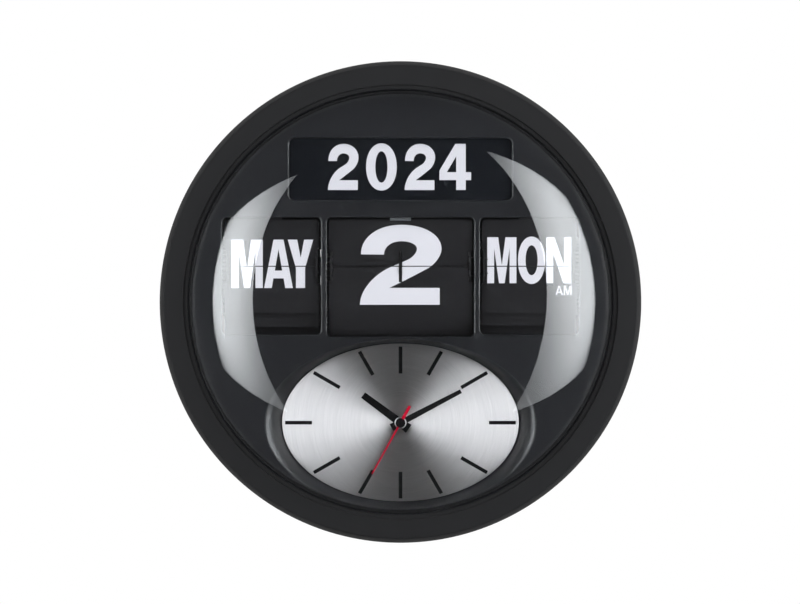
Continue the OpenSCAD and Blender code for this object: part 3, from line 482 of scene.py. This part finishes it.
def turned_lines(name):
    """Circular brushing: noise over the distance from the middle, with a slow change
    round the circle, so its lines are rings."""
    tree, where, scale, out = new_group(name, 2500.0, ("Tone", "Height"))
    flat = calc(tree, "MULTIPLY", where, (1, 0, 1), kind="VectorMath")
    radius = calc(tree, "LENGTH", flat, kind="VectorMath")
    along = calc(tree, "NORMALIZE", flat, kind="VectorMath")
    slow = put(tree, "VectorMath", {0: along, "Scale": 0.0016}, operation="SCALE")
    ring = put(tree, "CombineXYZ", {"Y": radius})
    spot = calc(tree, "ADD", ring.outputs[0], slow.outputs[0], kind="VectorMath")
    lines = noise(tree, spot, scale, Detail=5.0, Roughness=0.75)
    feed(tree, out, {"Tone": lines, "Height": lines})
    return tree


def dust_and_smears(name):
    """A mask of faint handling marks: broad patches broken up by finer noise."""
    tree, where, scale, out = new_group(name, 24.0, ("Mask",))
    broad = noise(tree, where, scale, Detail=5.0, Roughness=0.6, Distortion=0.4)
    feed(tree, out, {"Mask": ramp(tree, broad, 0.42, 0.75, 0, 1)})
    return tree


GROUPS = {}


def texture(tree, maker, inputs):
    """The outputs of a texture group, which is made once and named after its function."""
    name = maker.__name__.replace("_", " ").capitalize()
    if name not in GROUPS:
        GROUPS[name] = maker(name)
    return put(tree, "Group", inputs, node_tree=GROUPS[name]).outputs


def new_material(name):
    made = bpy.data.materials.new(name)
    made.use_nodes = True
    return made, made.node_tree, made.node_tree.nodes["Principled BSDF"]


def surface(name, base, rough, scale, bump, group=moulded_grain, reach=0.00004,
            spread=0.10, rough_spread=0.06, metallic=0.0, coat=0.0, specular=0.5,
            centre=None, dust=0.0, tint=1.0):
    """A finished material: the texture's tone moves the colour and the roughness a little
    round their own values, its height makes the relief, and dust lightens patches."""
    made, tree, shader = new_material(name)
    where = put(tree, "TexCoord").outputs["Object"]
    if centre:
        where = put(tree, "Mapping", {"Vector": where,
                                      "Location": [-c for c in centre]}).outputs[0]
    grain = texture(tree, group, {"Scale": scale, "Vector": where})
    dark = [c * tint * (1 - spread) for c in base]
    light = [min(1, c * tint * (1 + spread)) for c in base]
    painted = blend(tree, grain["Tone"], (*dark, 1), (*light, 1))
    if dust:
        mask = texture(tree, dust_and_smears, {"Vector": where})["Mask"]
        painted = blend(tree, calc(tree, "MULTIPLY", mask, dust), painted,
                        (0.35, 0.35, 0.34, 1))
    feed(tree, shader, {
        "Metallic": metallic, "Coat Weight": coat, "Specular IOR Level": specular,
        "Base Color": painted,
        "Roughness": ramp(tree, grain["Tone"], 0.3, 0.7, max(0.0, rough - rough_spread),
                          min(1.0, rough + rough_spread)),
        "Normal": relief(tree, grain["Height"], bump, reach)})
    return made


def clear_moulding(name):
    """Clear acrylic. Light for shadows and dull surfaces passes straight through it."""
    made, tree, shader = new_material(name)
    where = put(tree, "TexCoord").outputs["Object"]
    grain = texture(tree, moulded_grain, {"Scale": 160.0, "Vector": where})
    feed(tree, shader, {
        "Base Color": (0.985, 0.99, 0.995, 1), "Roughness": 0.0, "IOR": 1.49,
        "Transmission Weight": 1.0, "Normal": relief(tree, grain["Height"], 0.02, 0.00003)})
    path = put(tree, "LightPath").outputs
    through = put(tree, "BsdfTransparent")
    mixed = put(tree, "MixShader", {
        0: calc(tree, "MAXIMUM", path["Is Shadow Ray"], path["Is Diffuse Ray"]),
        1: shader.outputs[0], 2: through.outputs[0]})
    feed(tree, tree.nodes["Material Output"], {"Surface": mixed.outputs[0]})
    return made


def stretch_gloss(made):
    """Stretches a metal's gloss across the rings of its brushing, which the tangent of the
    piece's own map follows."""
    tree = made.node_tree
    around = put(tree, "Tangent", direction_type="UV_MAP", uv_map="Rings")
    feed(tree, tree.nodes["Principled BSDF"], {
        "Anisotropic": 0.95, "Anisotropic Rotation": 0.25, "Tangent": around.outputs[0]})


# Label, colour, roughness, the texture's scale, the relief's strength, and what differs
# from the defaults of surface(). A colour is linear, or named in the scene's settings.
DRAWN = dict(group=drawn_lines, metallic=1.0)
TURNED = dict(group=turned_lines, centre=HUB)
FINISHES = {
    "ring": ("Matt ring plastic", "ring", 0.55, 1500, 0.25,
             dict(spread=0.06, specular=0.19, dust=0.003)),
    "case": ("Textured case plastic", "case", 0.6, 800, 0.5,
             dict(reach=0.00008, spread=0.08, specular=0.3, dust=0.008)),
    "plate": ("Satin dial plate", "plate", 0.36, 1500, 0.1,
              dict(spread=0.06, rough_spread=0.04, specular=0.58)),
    "plate_edge": ("Smooth plate edge", "plate", 0.30, 1500, 0.01,
                   dict(spread=0.03, rough_spread=0.01, specular=1.0)),
    "well": ("Satin wall of the well", "plate", 0.42, 1500, 0.02,
             dict(spread=0.06, rough_spread=0.03, specular=1.0)),
    "leaf": ("Matt black leaf", "leaf", 0.42, 1800, 0.15, dict(spread=0.06, specular=0.30)),
    "card": ("Dark year card", "card", 0.6, 1600, 0.1, dict(spread=0.08, specular=0.20)),
    "ink": ("White screen print", "ink", 0.6, 2200, 0.15, dict(spread=0.02, specular=0.2)),
    "card_ink": ("White print on the card", "ink", 0.6, 2200, 0.15,
                 dict(spread=0.02, specular=0.2, tint=0.95)),
    "marker": ("Black marker", "marker", 0.4, 1800, 0.08, dict(specular=0.15)),
    "hand": ("Black lacquered hand", "hand", 0.45, 1500, 0.06, dict(specular=0.15)),
    "second": ("Red lacquered hand", "second", 0.45, 1500, 0.05,
               dict(spread=0.04, specular=0.2)),
    "hub_black": ("Black hub cap", "hand", 0.3, 4000, 0.05, TURNED),
    "chrome": ("Bright hub ring", (0.86, 0.86, 0.87), 0.36, 4000, 0.05,
               dict(TURNED, spread=0.02, rough_spread=0.03, metallic=1.0)),
    "silver": ("Circular brushed silver", "silver", 0.43, 1000, 0.35,
               dict(TURNED, reach=0.00003, spread=0.24, rough_spread=0.07, metallic=1.0)),
    "nickel": ("Nickel plated nut", "nickel", 0.3, 3000, 0.1,
               dict(TURNED, metallic=1.0, spread=0.05)),
    "steel": ("Zinc plated steel", "steel", 0.36, 1400, 0.12, dict(DRAWN, spread=0.08)),
    "bright_steel": ("Ground spring steel", (0.16, 0.16, 0.165), 0.45, 2400, 0.08,
                     dict(DRAWN, spread=0.06)),
    "drum": ("Satin drum plastic", "leaf", 0.48, 900, 0.2, {}),
    "gear": ("Dark gear plastic", "gear", 0.42, 1200, 0.15, dict(spread=0.03)),
    "knob": ("Knurled black plastic", "case", 0.5, 1600, 0.25, {}),
    "movement": ("Sparked movement case", "case", 0.6, 1100, 0.6, dict(reach=0.00008)),
    "rubber": ("Soft sealing ring", (0.022, 0.022, 0.022), 0.8, 700, 0.3,
               dict(specular=0.25)),
    "sleeve": ("Printed cell sleeve", "sleeve", 0.3, 300, 0.04,
               dict(group=drawn_lines, coat=0.5, spread=0.12)),
    "board": ("Lacquered board", "board", 0.28, 500, 0.08, dict(coat=0.4, spread=0.15)),
    "wire": ("Lead insulation", "wire", 0.45, 700, 0.1, {}),
}
MATERIALS = {}


def material(name):
    """Makes each material once, with the colours of the scene's settings."""
    if name == "glass" and name not in MATERIALS:
        MATERIALS[name] = clear_moulding("Clear acrylic")
    if name not in MATERIALS:
        label, base, rough, scale, bump, more = FINISHES[name]
        if isinstance(base, str):
            base = getattr(bpy.context.scene.clock_colours, base)
        MATERIALS[name] = surface(label, base, rough, scale, bump, **more)
    return MATERIALS[name]


# Pieces

# The plate's windows: middle across, lowest and highest edge, width
WINDOWS = [(cx * MM, low * MM, high * MM, wide * MM) for cx, low, high, wide in (
    (0, -28.8, 70.1, 122), (-107, -26.9, 70.1, 82), (107, -26.9, 70.1, 82),
    (0, 84.75, 136.05, 185))]


class CLOCK_OT_dome(bpy.types.Operator):
    """Makes the clear dome: outside and inside are superellipses turned about the middle"""
    bl_idname = "clock.dome"
    bl_label = "Clear dome"

    def execute(self, context):
        low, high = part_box("dome")
        apex, base, rim = -low.y, -high.y, high.x
        power, wall, flange, small = 2.5, 2 * MM, 2 * MM, 0.2 * MM
        outer = rim - 8.2 * MM

        def section(radius, height):
            """r = R sin(t)^(2/p), depth = base + H cos(t)^(2/p), from the apex outwards."""
            t = np.linspace(0, np.pi / 2, 64)
            return np.stack([radius * np.sin(t) ** (2 / power),
                             base + height * np.cos(t) ** (2 / power)], -1)
        shell = section(outer, apex - base)
        shell = shell[shell[:, 1] > base + flange + 0.15 * MM]
        lining = section(outer - wall, apex - base - wall)
        flange_edge = [(outer, base + flange), (rim - small, base + flange),
                       (rim, base + flange - small), (rim, base)]
        profile = np.concatenate([shell, flange_edge, lining[::-1]])
        dome = turned("clear_dome", profile, "case", context.scene.clock_sizes.turns,
                      sharp=40)
        paint(dome, "glass")
        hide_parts("dome")
        paint("dome_gasket", "rubber")
        return {"FINISHED"}


class CLOCK_OT_front_ring(bpy.types.Operator):
    """Makes the matt front ring as one turned piece with a bevelled edge, and its bosses"""
    bl_idname = "clock.front_ring"
    bl_label = "Front ring"

    def execute(self, context):
        sizes = context.scene.clock_sizes
        low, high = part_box("front_ring")
        r, front, back = high.x, -low.y, -high.y
        flange_front = front - 3.2 * MM
        lip, small, tiny = r - 20 * MM, 0.5 * MM, 0.3 * MM
        glass_lip, ledge = lip - 3.4 * MM, flange_front + 1.4 * MM
        seat, shell, tongue = lip + 4.3 * MM, lip + 8 * MM, r - 3 * MM
        case_top = front - 9.2 * MM
        profile = [(tongue, back + small), (tongue + small, back), (r - small, back),
                   (r, back + small)]
        # In widths of the bevel, inwards and back: it is steeper than it is wide, with its
        # ends eased by a small step
        bevel = [(0, 1.58), (0.03, 1.46), (0.94, 0.08), (0.99, 0.02), (1.06, 0), (1.16, 0)]
        profile += [(r - a * sizes.ring_bevel, front - b * sizes.ring_bevel)
                    for a, b in bevel]
        profile += [(lip + 2 * small, front)]
        profile += arc((lip + small, front - small), small, 90, 180, 6)
        profile += [(lip, ledge + small)]
        profile += arc((lip - small, ledge + small), small, 0, -90, 5)[1:]
        profile += arc((glass_lip + tiny, ledge - tiny), tiny, 90, 180, 5)
        profile += [(glass_lip, flange_front), (seat, flange_front), (seat, case_top),
                    (shell, case_top), (shell, flange_front), (tongue, flange_front)]
        ring = turned("matt_ring", profile, "case", sizes.turns, sharp=38)
        paint(ring, "ring")
        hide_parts("front_ring")
        # Radius and depth of a boss's section, a closed loop
        boss = [(1.6, 65.2), (4.0, 65.2), (4.1, 65.5), (4.1, 84.9), (1.6, 84.9)]
        radius, depth = np.array(boss).T * MM
        posts = make_piece("ring_bosses", [
            ring_points(radius, radius, depth, 32, middle[[0, 2]])
            for middle, _ in ring_screws()], "case")
        paint(posts, "ring")
        return {"FINISHED"}


def window_beads(front):
    """A low rounded bead round each window. A section point at offset o and angle a of
    a corner lies at the corner's middle + (corner radius + o)(cos a, sin a); across the
    bead o = c + A cos t and the depth is front + B sin t, for t from 0 to 180 degrees.
    The section's foot lies inside the plate."""
    corner, across, rise = 4.4 * MM, 0.50 * MM, 0.40 * MM
    t = np.radians(np.linspace(0, 180, 15))
    o = np.concatenate([0.56 * MM + across * np.cos(t), [0.06 * MM, 1.06 * MM]])
    depth = np.concatenate([front + rise * np.sin(t), [front - 1.6 * MM] * 2])
    a = np.radians(np.concatenate([np.linspace(q, q + 90, 13)
                                   for q in (0, 90, 180, 270)]))
    sx = np.repeat([1, -1, -1, 1], 13)
    sz = np.repeat([1, 1, -1, -1], 13)
    grids = []
    for cx, low, high, wide in WINDOWS:
        half_x, half_z = wide / 2 - corner, (high - low) / 2 - corner
        x = cx + sx * half_x + (corner + o[:, None]) * np.cos(a)
        z = (low + high) / 2 + sz * half_z + (corner + o[:, None]) * np.sin(a)
        grids.append(np.stack([x, -depth[:, None] + 0 * x, z], -1))
    return make_piece("window_beads", grids, "case", 40)


def dial_well(front):
    """The wall of the sunk oval. At share s of the way from the dial's seat to the rim
    it is an oval between the two, at depth seat + (front - seat)(1 - (1 - s)^1.6), so
    the rim rolls over smoothly."""
    seat = -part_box("silver_dial")[1].y
    s = np.linspace(0, 1, 28)
    rows = np.concatenate([s, [1.012, 1.012, 0.0]])
    depth = np.concatenate([seat + (front - seat + 0.05 * MM) * (1 - (1 - s) ** 1.6),
                            [front - 0.1 * MM, front - 0.6 * MM, seat - 0.4 * MM]])
    half_x, half_z = (99.0 + 14.0 * rows) * MM, (66.5 + 4.7 * rows) * MM
    middle = DIAL_Z - 1.2 * MM * rows
    points = ring_points(half_x, half_z, depth, 192, (0, middle[:, None]))
    return make_piece("dial_well", [points], "case", 40)


class CLOCK_OT_dial_plate(bpy.types.Operator):
    """Rounds the edges of the dial plate's windows and of the sunk oval"""
    bl_idname = "clock.dial_plate"
    bl_label = "Dial plate"

    def execute(self, context):
        eased("dial_plate", context.scene.clock_sizes.plate_edge, "plate", angle=40,
              segments=3)
        front = -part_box("dial_plate")[0].y
        for piece, finish in ((window_beads(front), "plate_edge"),
                              (dial_well(front), "well")):
            paint(piece, finish)
        return {"FINISHED"}


class CLOCK_OT_oval_dial(bpy.types.Operator):
    """Makes the brushed oval dial with its rounded rim, and finishes its markers"""
    bl_idname = "clock.oval_dial"
    bl_label = "Oval dial"

    def execute(self, context):
        low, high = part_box("silver_dial")
        a, b = high.x, (high.z - low.z) / 2
        front, back, edge, hole = -low.y, -high.y, 0.4 * MM, 4.35 * MM
        steps = 192
        # A section point has a share s from the hole (0) to the rim (1) and a distance e
        # inside the rim: x = ((1 - s) hole + s (a - e)) sin f, z likewise with b
        s = np.concatenate([[0, 0], np.linspace(0, 1, 14)[1:], np.ones(5), [1, 1]])
        turn = np.radians(np.linspace(0, 90, 6))[1:]
        inset = np.concatenate([[0, 0], np.full(13, edge), edge * (1 - np.sin(turn)),
                                [0, edge]])
        depth = np.concatenate([[back, front], np.full(13, front),
                                front - edge * (1 - np.cos(turn)), [back + edge / 2, back]])
        points = ring_points((1 - s) * hole + s * (a - inset),
                             (1 - s) * hole + s * (b - inset), depth, steps,
                             (0, DIAL_Z)).reshape(-1, 3)
        faces = grid_faces(len(s), steps, wrap_rows=True)
        corner = points[faces]
        normal = np.cross(corner[:, 2] - corner[:, 0], corner[:, 3] - corner[:, 1])
        if (normal * corner.mean(1)).sum() < 0:
            faces = faces[:, ::-1]
        name = "brushed_dial"
        dial = finish_piece(name, new_mesh(name, points, faces), "case", 30)
        # Map for the brushing: u goes once round the middle, v is the distance from it
        rings = dial.data.uv_layers.new(name="Rings")
        x, _, z = points[faces.reshape(-1)].T
        u = (np.arctan2(x, z - DIAL_Z) / (2 * np.pi)).reshape(-1, 4)
        seam = (u.max(1) - u.min(1) > 0.5)[:, None] & (u < 0)
        u = np.where(seam, u + 1, u).reshape(-1)
        v = np.hypot(x, z - DIAL_Z) * 10
        rings.data.foreach_set("uv", np.stack([u, v], -1).reshape(-1).astype(np.float32))
        paint(dial, "silver")
        stretch_gloss(material("silver"))
        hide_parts("silver_dial")
        eased("hour_markers", 0.1 * MM, "marker")
        return {"FINISHED"}


class CLOCK_OT_hands(bpy.types.Operator):
    """Finishes the three hands, the hub and the nut of the movement"""
    bl_idname = "clock.hands"
    bl_label = "Hands"

    def execute(self, context):
        edge = context.scene.clock_sizes.hand_edge
        for node in ("hour_hand", "minute_hand"):
            eased(node, edge, "hand", angle=40)
        needle = eased("second_hand", edge * 0.6, "second", angle=40)
        # The middle of the second hand is its black cap
        cap = 3.85 * MM
        needle.data.materials.append(material("hub_black"))
        centres = np.empty(len(needle.data.polygons) * 3, np.float32)
        needle.data.polygons.foreach_get("center", centres)
        x, _, z = centres.reshape(-1, 3).T
        which = (np.hypot(x, z - DIAL_Z) < cap).astype(np.int32)
        needle.data.polygons.foreach_set("material_index", which)
        top = -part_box("minute_hand")[0].y
        ring = turned("hub_ring", [(3.95 * MM, top - 0.1 * MM), (4.95 * MM, top - 0.1 * MM)]
                      + arc((4.45 * MM, top + 0.05 * MM), 0.5 * MM, 0, 180, 12),
                      "minute_hand", 96, centre=(0, DIAL_Z))
        paint(ring, "chrome")
        eased("movement_nut", 0.25 * MM, "nickel")
        return {"FINISHED"}


class CLOCK_OT_year(bpy.types.Operator):
    """Prints the year on its card and finishes the card and its holder"""
    bl_idname = "clock.year"
    bl_label = "Year card"

    def execute(self, context):
        sizes = context.scene.clock_sizes
        paint("year_card", "card")
        eased("year_card_holder", sizes.fine_edge, "case")
        front = -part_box("year_card")[0].y
        box = (-60.2 * MM, 58.6 * MM, 93 * MM, 131.3 * MM)
        year = lettering("year_print", "2024", box, front, "case", sizes.print_t)
        paint(year, "card_ink")
        return {"FINISHED"}


# What each drum shows now and after its next step, and where: left, right, foot and head
LEGENDS = {
    "month": [("MAY", "JUN", (-140.5, -72.5, 11.6, 51.8))],
    "date": [("2", "3", (-33.7, 34.1, -2.3, 64.2))],
    "weekday": [("MON", "MON", (72.1, 141.9, 15.6, 53.8)),
                ("am", "pm", (128.7, 142.2, 5.7, 13.5))],
}


class CLOCK_OT_leaves(bpy.types.Operator):
    """Finishes the leaves and prints what shows now, and what the next step brings"""
    bl_idname = "clock.leaves"
    bl_label = "Leaves and print"

    def execute(self, context):
        thick, gap = context.scene.clock_sizes.print_t, 0.4 * MM
        for m in MODULES:
            for piece in ("_leaves", "_lower_leaf", "_falling_leaf"):
                paint(m + piece, "leaf")
            pivot = Vector(JOINTS[m + "_leaf_fall"]["pos_m"])
            step = math.radians(JOINTS[m + "_drum_step"]["range_deg"][1])
            fall = step * RATIO[m + "_leaf_fall"]
            front = -pivot.y + 0.2 * MM
            # The date's spring strip stands in a slot between the halves of its print
            notch = None
            if m == "date":
                notch = (0, 1.35 * MM, AXLE_Z - 13.2 * MM, AXLE_Z + 13.2 * MM)

            def about(point, angle):
                there = Matrix.Translation(point)
                return there @ Matrix.Rotation(angle, 4, "X") @ there.inverted()
            axle = Vector((0, AXLE_Y, AXLE_Z))
            # The next leaf stands one step behind, and the lower half of what it will show
            # is on the back of the leaf that falls
            standing = about(axle, -step)
            landed = (about(axle, step) @ about(pivot, fall)).inverted()
            for n, (now, later, box) in enumerate(LEGENDS[m]):
                box = [v * MM for v in box]
                prints = (
                    ("upper", now, 1, m + "_falling_leaf", None),
                    ("lower", now, -1, m + "_drum", None),
                    ("next_upper", later, 1, m + "_drum", standing),
                    ("next_lower", later, -1, m + "_falling_leaf", landed))
                for half, word, side, body, place in prints:
                    if side > 0 and box[3] < AXLE_Z + gap:
                        continue
                    name = f"{m}_{half}_print" + (f"_{n + 1}" if n else "")
                    split = (AXLE_Z + side * gap, side)
                    mark = lettering(name, word, box, front, body, thick, split, notch,
                                     place)
                    paint(mark, "ink")
        return {"FINISHED"}


class CLOCK_OT_case(bpy.types.Operator):
    """Finishes the rear case, the battery door, the hanger, the knob and the set wheels"""
    bl_idname = "clock.case"
    bl_label = "Case and back"

    def execute(self, context):
        eased("rear_case", 0, "case", angle=30)
        eased("battery_door", context.scene.clock_sizes.fine_edge, "case")
        eased("hanger_plate", 0.2 * MM, "steel")
        eased("time_set_knob", 0.2 * MM, "knob")
        for m in MODULES:
            eased(m + "_set_wheel", 0, "knob")
        return {"FINISHED"}


def screw_heads(places):
    """Pan heads with a cross recess. Over a head of radius R the surface stands
    h (1 - (r/R)^3) above its rim, less the recess, a smooth cross of two bars. The last
    rows are the foot of the rim and the middle of the floor."""
    radius, height, rim = 2.75, 0.7 * MM, 1.1 * MM
    rings, steps = 16, 40
    f = np.arange(steps) * 2 * np.pi / steps
    r = np.linspace(0, radius, rings)[:, None] * MM
    x, z = r * np.sin(f), r * np.cos(f)
    rise = height * (1 - (r / (radius * MM)) ** 3) + 0 * f

    def bar(along, across):
        side = np.clip((0.42 * MM - np.abs(across)) / (0.16 * MM), 0, 1)
        end = np.clip((1.5 * MM - np.abs(along)) / (0.5 * MM), 0, 1)
        return side * end
    rise = rise - 0.9 * MM * np.maximum(bar(x, z), bar(z, x))
    top = np.stack([x, rise + rim, z], -1)
    foot = np.stack([x[-1], 0 * f, z[-1]], -1)[None]
    shape = np.concatenate([top, foot, np.zeros((1, steps, 3))])
    return make_piece("ring_screw_heads", [shape + place for place in places], "case",
                      40, wrap_rows=False)


class CLOCK_OT_screws(bpy.types.Operator):
    """Makes the screws' heads with their cross recesses, on plain shanks"""
    bl_idname = "clock.screws"
    bl_label = "Screws"

    def execute(self, context):
        paint("ring_fasteners", "steel")
        paint("chassis_screws", "steel")
        heads = screw_heads([(middle[0], high[1] - 1.8 * MM, middle[2])
                            for middle, high in ring_screws()])
        paint(heads, "steel")
        return {"FINISHED"}


class CLOCK_OT_works(bpy.types.Operator):
    """Finishes the drums, their drive, the chassis, the movement and the power supply"""
    bl_idname = "clock.works"
    bl_label = "Works"

    def execute(self, context):
        fine = context.scene.clock_sizes.fine_edge
        for node in ("left_end_carrier", "left_mid_carrier", "right_mid_carrier",
                     "right_end_carrier", "top_rail", "bottom_rail"):
            eased(node, 0.25 * MM, "steel")
        for node in ("drum_axle", "axle_rings", "battery_contacts"):
            paint(node, "bright_steel")
        for m in MODULES:
            paint(m + "_drum", "drum")
            paint(m + "_gear", "gear")
            paint(m + "_retainer", "steel" if m == "date" else "leaf")
            eased(m + "_motor", fine, "steel", angle=50)
            paint(m + "_motor_pinion", "gear")
        paint("date_idler_gear", "gear")
        for node, edge, finish in (("movement", fine, "movement"),
                                   ("upper_battery", 0.6 * MM, "sleeve"),
                                   ("lower_battery", 0.6 * MM, "sleeve"),
                                   ("control_board", 0.15 * MM, "board")):
            eased(node, edge, finish, angle=50)
        paint("wiring", "wire")
        return {"FINISHED"}


def add_floor():
    """A round pale floor below the clock, a flat disc with a thin rim. A faint glow of
    its own keeps it as white as the background, and only the camera sees it, so that
    the dome doesn't mirror it."""
    steps, level, middle = 96, -0.62, 0.3
    f = np.arange(steps) * 2 * np.pi / steps
    rows = [(0.0, 0.0), (0.49, 0.0), (0.50, -0.004), (0.50, -0.01), (0.0, -0.01)]
    points = np.stack([np.stack([r * np.sin(f), middle + r * np.cos(f),
                                 0 * f + level + z], -1) for r, z in rows])
    mesh = new_mesh("floor", points, grid_faces(len(rows), steps))
    weld(mesh)
    floor = stand("floor", mesh)
    pale = surface("Pale floor", (0.88, 0.88, 0.88), 0.7, 300, 0.02, spread=0.01)
    feed(pale.node_tree, pale.node_tree.nodes["Principled BSDF"],
         {"Emission Color": (1, 1, 1, 1), "Emission Strength": 0.42})
    pale.cycles.emission_sampling = "NONE"
    mesh.materials.append(pale)
    floor.visible_diffuse = floor.visible_glossy = floor.visible_transmission = False


def add_soft_box(name, side, near, far, low, high, square, light):
    """A flat soft box at distance D: at azimuth a its face lies D tan(a - square) from
    the foot of the square line. A lamp lights the dull surfaces, and the dome and the
    glossy surfaces mirror the box's cloth."""
    reach, bow, rows = 1.6, 0.12, 17
    t0, t1 = (reach * math.tan(math.radians(a - square)) for a in (near, far))
    middle, wide = (t0 + t1) / 2, t1 - t0
    away = math.hypot(reach, middle)
    z0, z1 = (away * math.tan(math.radians(e)) for e in (low, high))
    s = math.radians(square)
    out = Vector((side * math.sin(s), -math.cos(s), 0))
    along = Vector((side * math.cos(s), math.sin(s), 0))
    place = out * reach + along * middle + Vector((0, -0.1, (z0 + z1) / 2))
    add_lamp(name + "_light", place, -out, (wide, z1 - z0), light.lamp)
    # The cloth's inner edge is drawn in by bow (1 - h^2) at height h from -1 to 1
    h = np.linspace(-1, 1, rows)
    u = np.concatenate([-wide / 2 + bow * (1 - h * h), np.full(rows, wide / 2)])
    v = np.concatenate([h, h]) * (z1 - z0) / 2
    corners = (np.array(place) + u[:, None] * np.array(along)
               + v[:, None] * np.array((0, 0, 1.0)))
    faces = grid_faces(2, rows, wrap_cols=False)
    mesh = new_mesh(name + "_cloth", corners, faces)
    spread = mesh.uv_layers.new(name="Cloth")
    spots = np.stack([u / wide, v / (z1 - z0)], -1) + 0.5
    spread.data.foreach_set("uv",
                            spots[faces.reshape(-1)].reshape(-1).astype(np.float32))
    cloth = stand(name + "_cloth", mesh)
    mesh.materials.append(cloth_glow(name, light.mirror))
    cloth.visible_camera = cloth.visible_diffuse = False
    cloth.visible_shadow = cloth.visible_volume_scatter = False


def add_lamp(name, place, towards, size, strength):
    """A rectangular lamp of the given brightness, for dull surfaces."""
    lamp = bpy.data.lights.new(name, "AREA")
    lamp.shape, lamp.size, lamp.size_y = "RECTANGLE", size[0], size[1]
    lamp.energy = strength * math.pi * size[0] * size[1]
    lamp.cycles.use_multiple_importance_sampling = False
    box = stand(name, lamp)
    box.location = place
    box.rotation_euler = Vector(towards).to_track_quat("-Z", "Y").to_euler()
    box.visible_glossy = box.visible_transmission = box.visible_camera = False


def cloth_glow(name, strength):
    """The cloth glows most round a spot above its middle: its brightness falls off
    smoothly with the distance from there."""
    made, tree, shader = new_material(name + "_cloth")
    made.cycles.emission_sampling = "NONE"
    tree.nodes.remove(shader)
    where = put(tree, "UVMap", uv_map="Cloth").outputs[0]
    from_spot = put(tree, "Mapping", {"Vector": where, "Location": (-0.6, -0.56, 0)})
    far = calc(tree, "LENGTH", from_spot.outputs[0], kind="VectorMath")
    glow = ramp(tree, far, 0.2, 0.8, strength, strength * 0.16,
                interpolation_type="SMOOTHSTEP")
    shine = put(tree, "Emission", {"Color": (0.94, 0.975, 1.0, 1), "Strength": glow})
    feed(tree, tree.nodes["Material Output"], {"Surface": shine.outputs[0]})
    return made


def add_world(scene, fill, back_fill):
    """White to the camera, and to mirrored and refracted rays that look away from the
    viewer; dark in front, where a studio is dark; an even fill for the rest, stronger
    from behind."""
    world = bpy.data.worlds.new("Studio")
    scene.world = world
    world.use_nodes = True
    tree = world.node_tree
    path = put(tree, "LightPath").outputs
    where = put(tree, "TexCoord").outputs["Generated"]
    depth = put(tree, "SeparateXYZ", {0: where}).outputs["Y"]
    behind = ramp(tree, depth, 0.3, 0.6, 0.03, 1.0)
    even = ramp(tree, depth, -0.1, 0.4, fill, back_fill)
    seen = calc(tree, "ADD", path["Is Glossy Ray"], path["Is Transmission Ray"],
                use_clamp=True)
    mirrored = blend(tree, seen, even, behind, "FLOAT")
    feed(tree, tree.nodes["Background"], {
        "Strength": blend(tree, path["Is Camera Ray"], mirrored, 1.0, "FLOAT"),
        "Color": (1, 1, 1, 1)})


def add_camera(scene, distance):
    """Square to the dial. The picture's width spans 0.6648 m in the plane that stands
    80 mm in front of the wall."""
    span, sensor, plane = 0.6648, 36.0, 0.08
    lens = bpy.data.cameras.new("Camera")
    lens.sensor_width = sensor
    lens.lens = sensor * distance / span
    lens.clip_start, lens.clip_end = 0.05, 20
    camera = stand("Camera", lens)
    camera.location = (-0.0004, -plane - distance, 0)
    camera.rotation_euler = (math.pi / 2, 0, 0)
    scene.camera = camera


class CLOCK_OT_stage(bpy.types.Operator):
    """Sets the floor, the soft boxes, the world and the camera"""
    bl_idname = "clock.stage"
    bl_label = "Stage"

    def execute(self, context):
        scene, light = context.scene, context.scene.clock_light
        scene.view_settings.view_transform = "Standard"
        add_floor()
        # Each soft box spans angles seen from the clock: the sides' azimuths, the lowest
        # and highest elevation, and the azimuth its face is square to
        add_soft_box("left", -1, 26.0, 58.2, -20.9, 25.6, 15.0, light)
        add_soft_box("right", 1, 25.6, 69.0, -22.0, 35.5, 30.0, light)
        # A soft lamp above the clock and in front of it, which the dome doesn't mirror
        add_lamp("top_light", (0, -0.75, 1.4), (0, 0.65, -1.4), (1.5, 0.6), light.top)
        add_world(scene, light.fill, light.back)
        add_camera(scene, light.distance)
        return {"FINISHED"}


class CLOCK_PT_panel(bpy.types.Panel):
    """Lists the clock's pieces and settings"""
    bl_idname = "CLOCK_PT_panel"
    bl_label = "Flip wall clock"
    bl_space_type = "VIEW_3D"
    bl_region_type = "UI"
    bl_category = "Clock"

    def draw(self, context):
        for maker in MAKERS:
            self.layout.operator(maker.bl_idname)
        for settings in SETTINGS:
            group = getattr(context.scene, settings)
            box = self.layout.box()
            for key in group.__annotations__:
                box.prop(group, key)


MAKERS = (CLOCK_OT_dome, CLOCK_OT_front_ring, CLOCK_OT_dial_plate, CLOCK_OT_oval_dial,
          CLOCK_OT_hands, CLOCK_OT_year, CLOCK_OT_leaves, CLOCK_OT_case, CLOCK_OT_screws,
          CLOCK_OT_works, CLOCK_OT_stage)
SETTINGS = {"clock_sizes": ClockSizes, "clock_colours": ClockColours,
            "clock_light": ClockLight}
CLASSES = (*SETTINGS.values(), *MAKERS, CLOCK_PT_panel)


def register():
    for item in CLASSES:
        bpy.utils.register_class(item)
    for name, group in SETTINGS.items():
        setattr(bpy.types.Scene, name, PointerProperty(type=group))


def unregister():
    for name in SETTINGS:
        delattr(bpy.types.Scene, name)
    for item in reversed(CLASSES):
        bpy.utils.unregister_class(item)


def main():
    """Makes every piece."""
    register()
    for maker in MAKERS:
        area, name = maker.bl_idname.split(".")
        getattr(getattr(bpy.ops, area), name)()


if __name__ == "__main__":
    main()
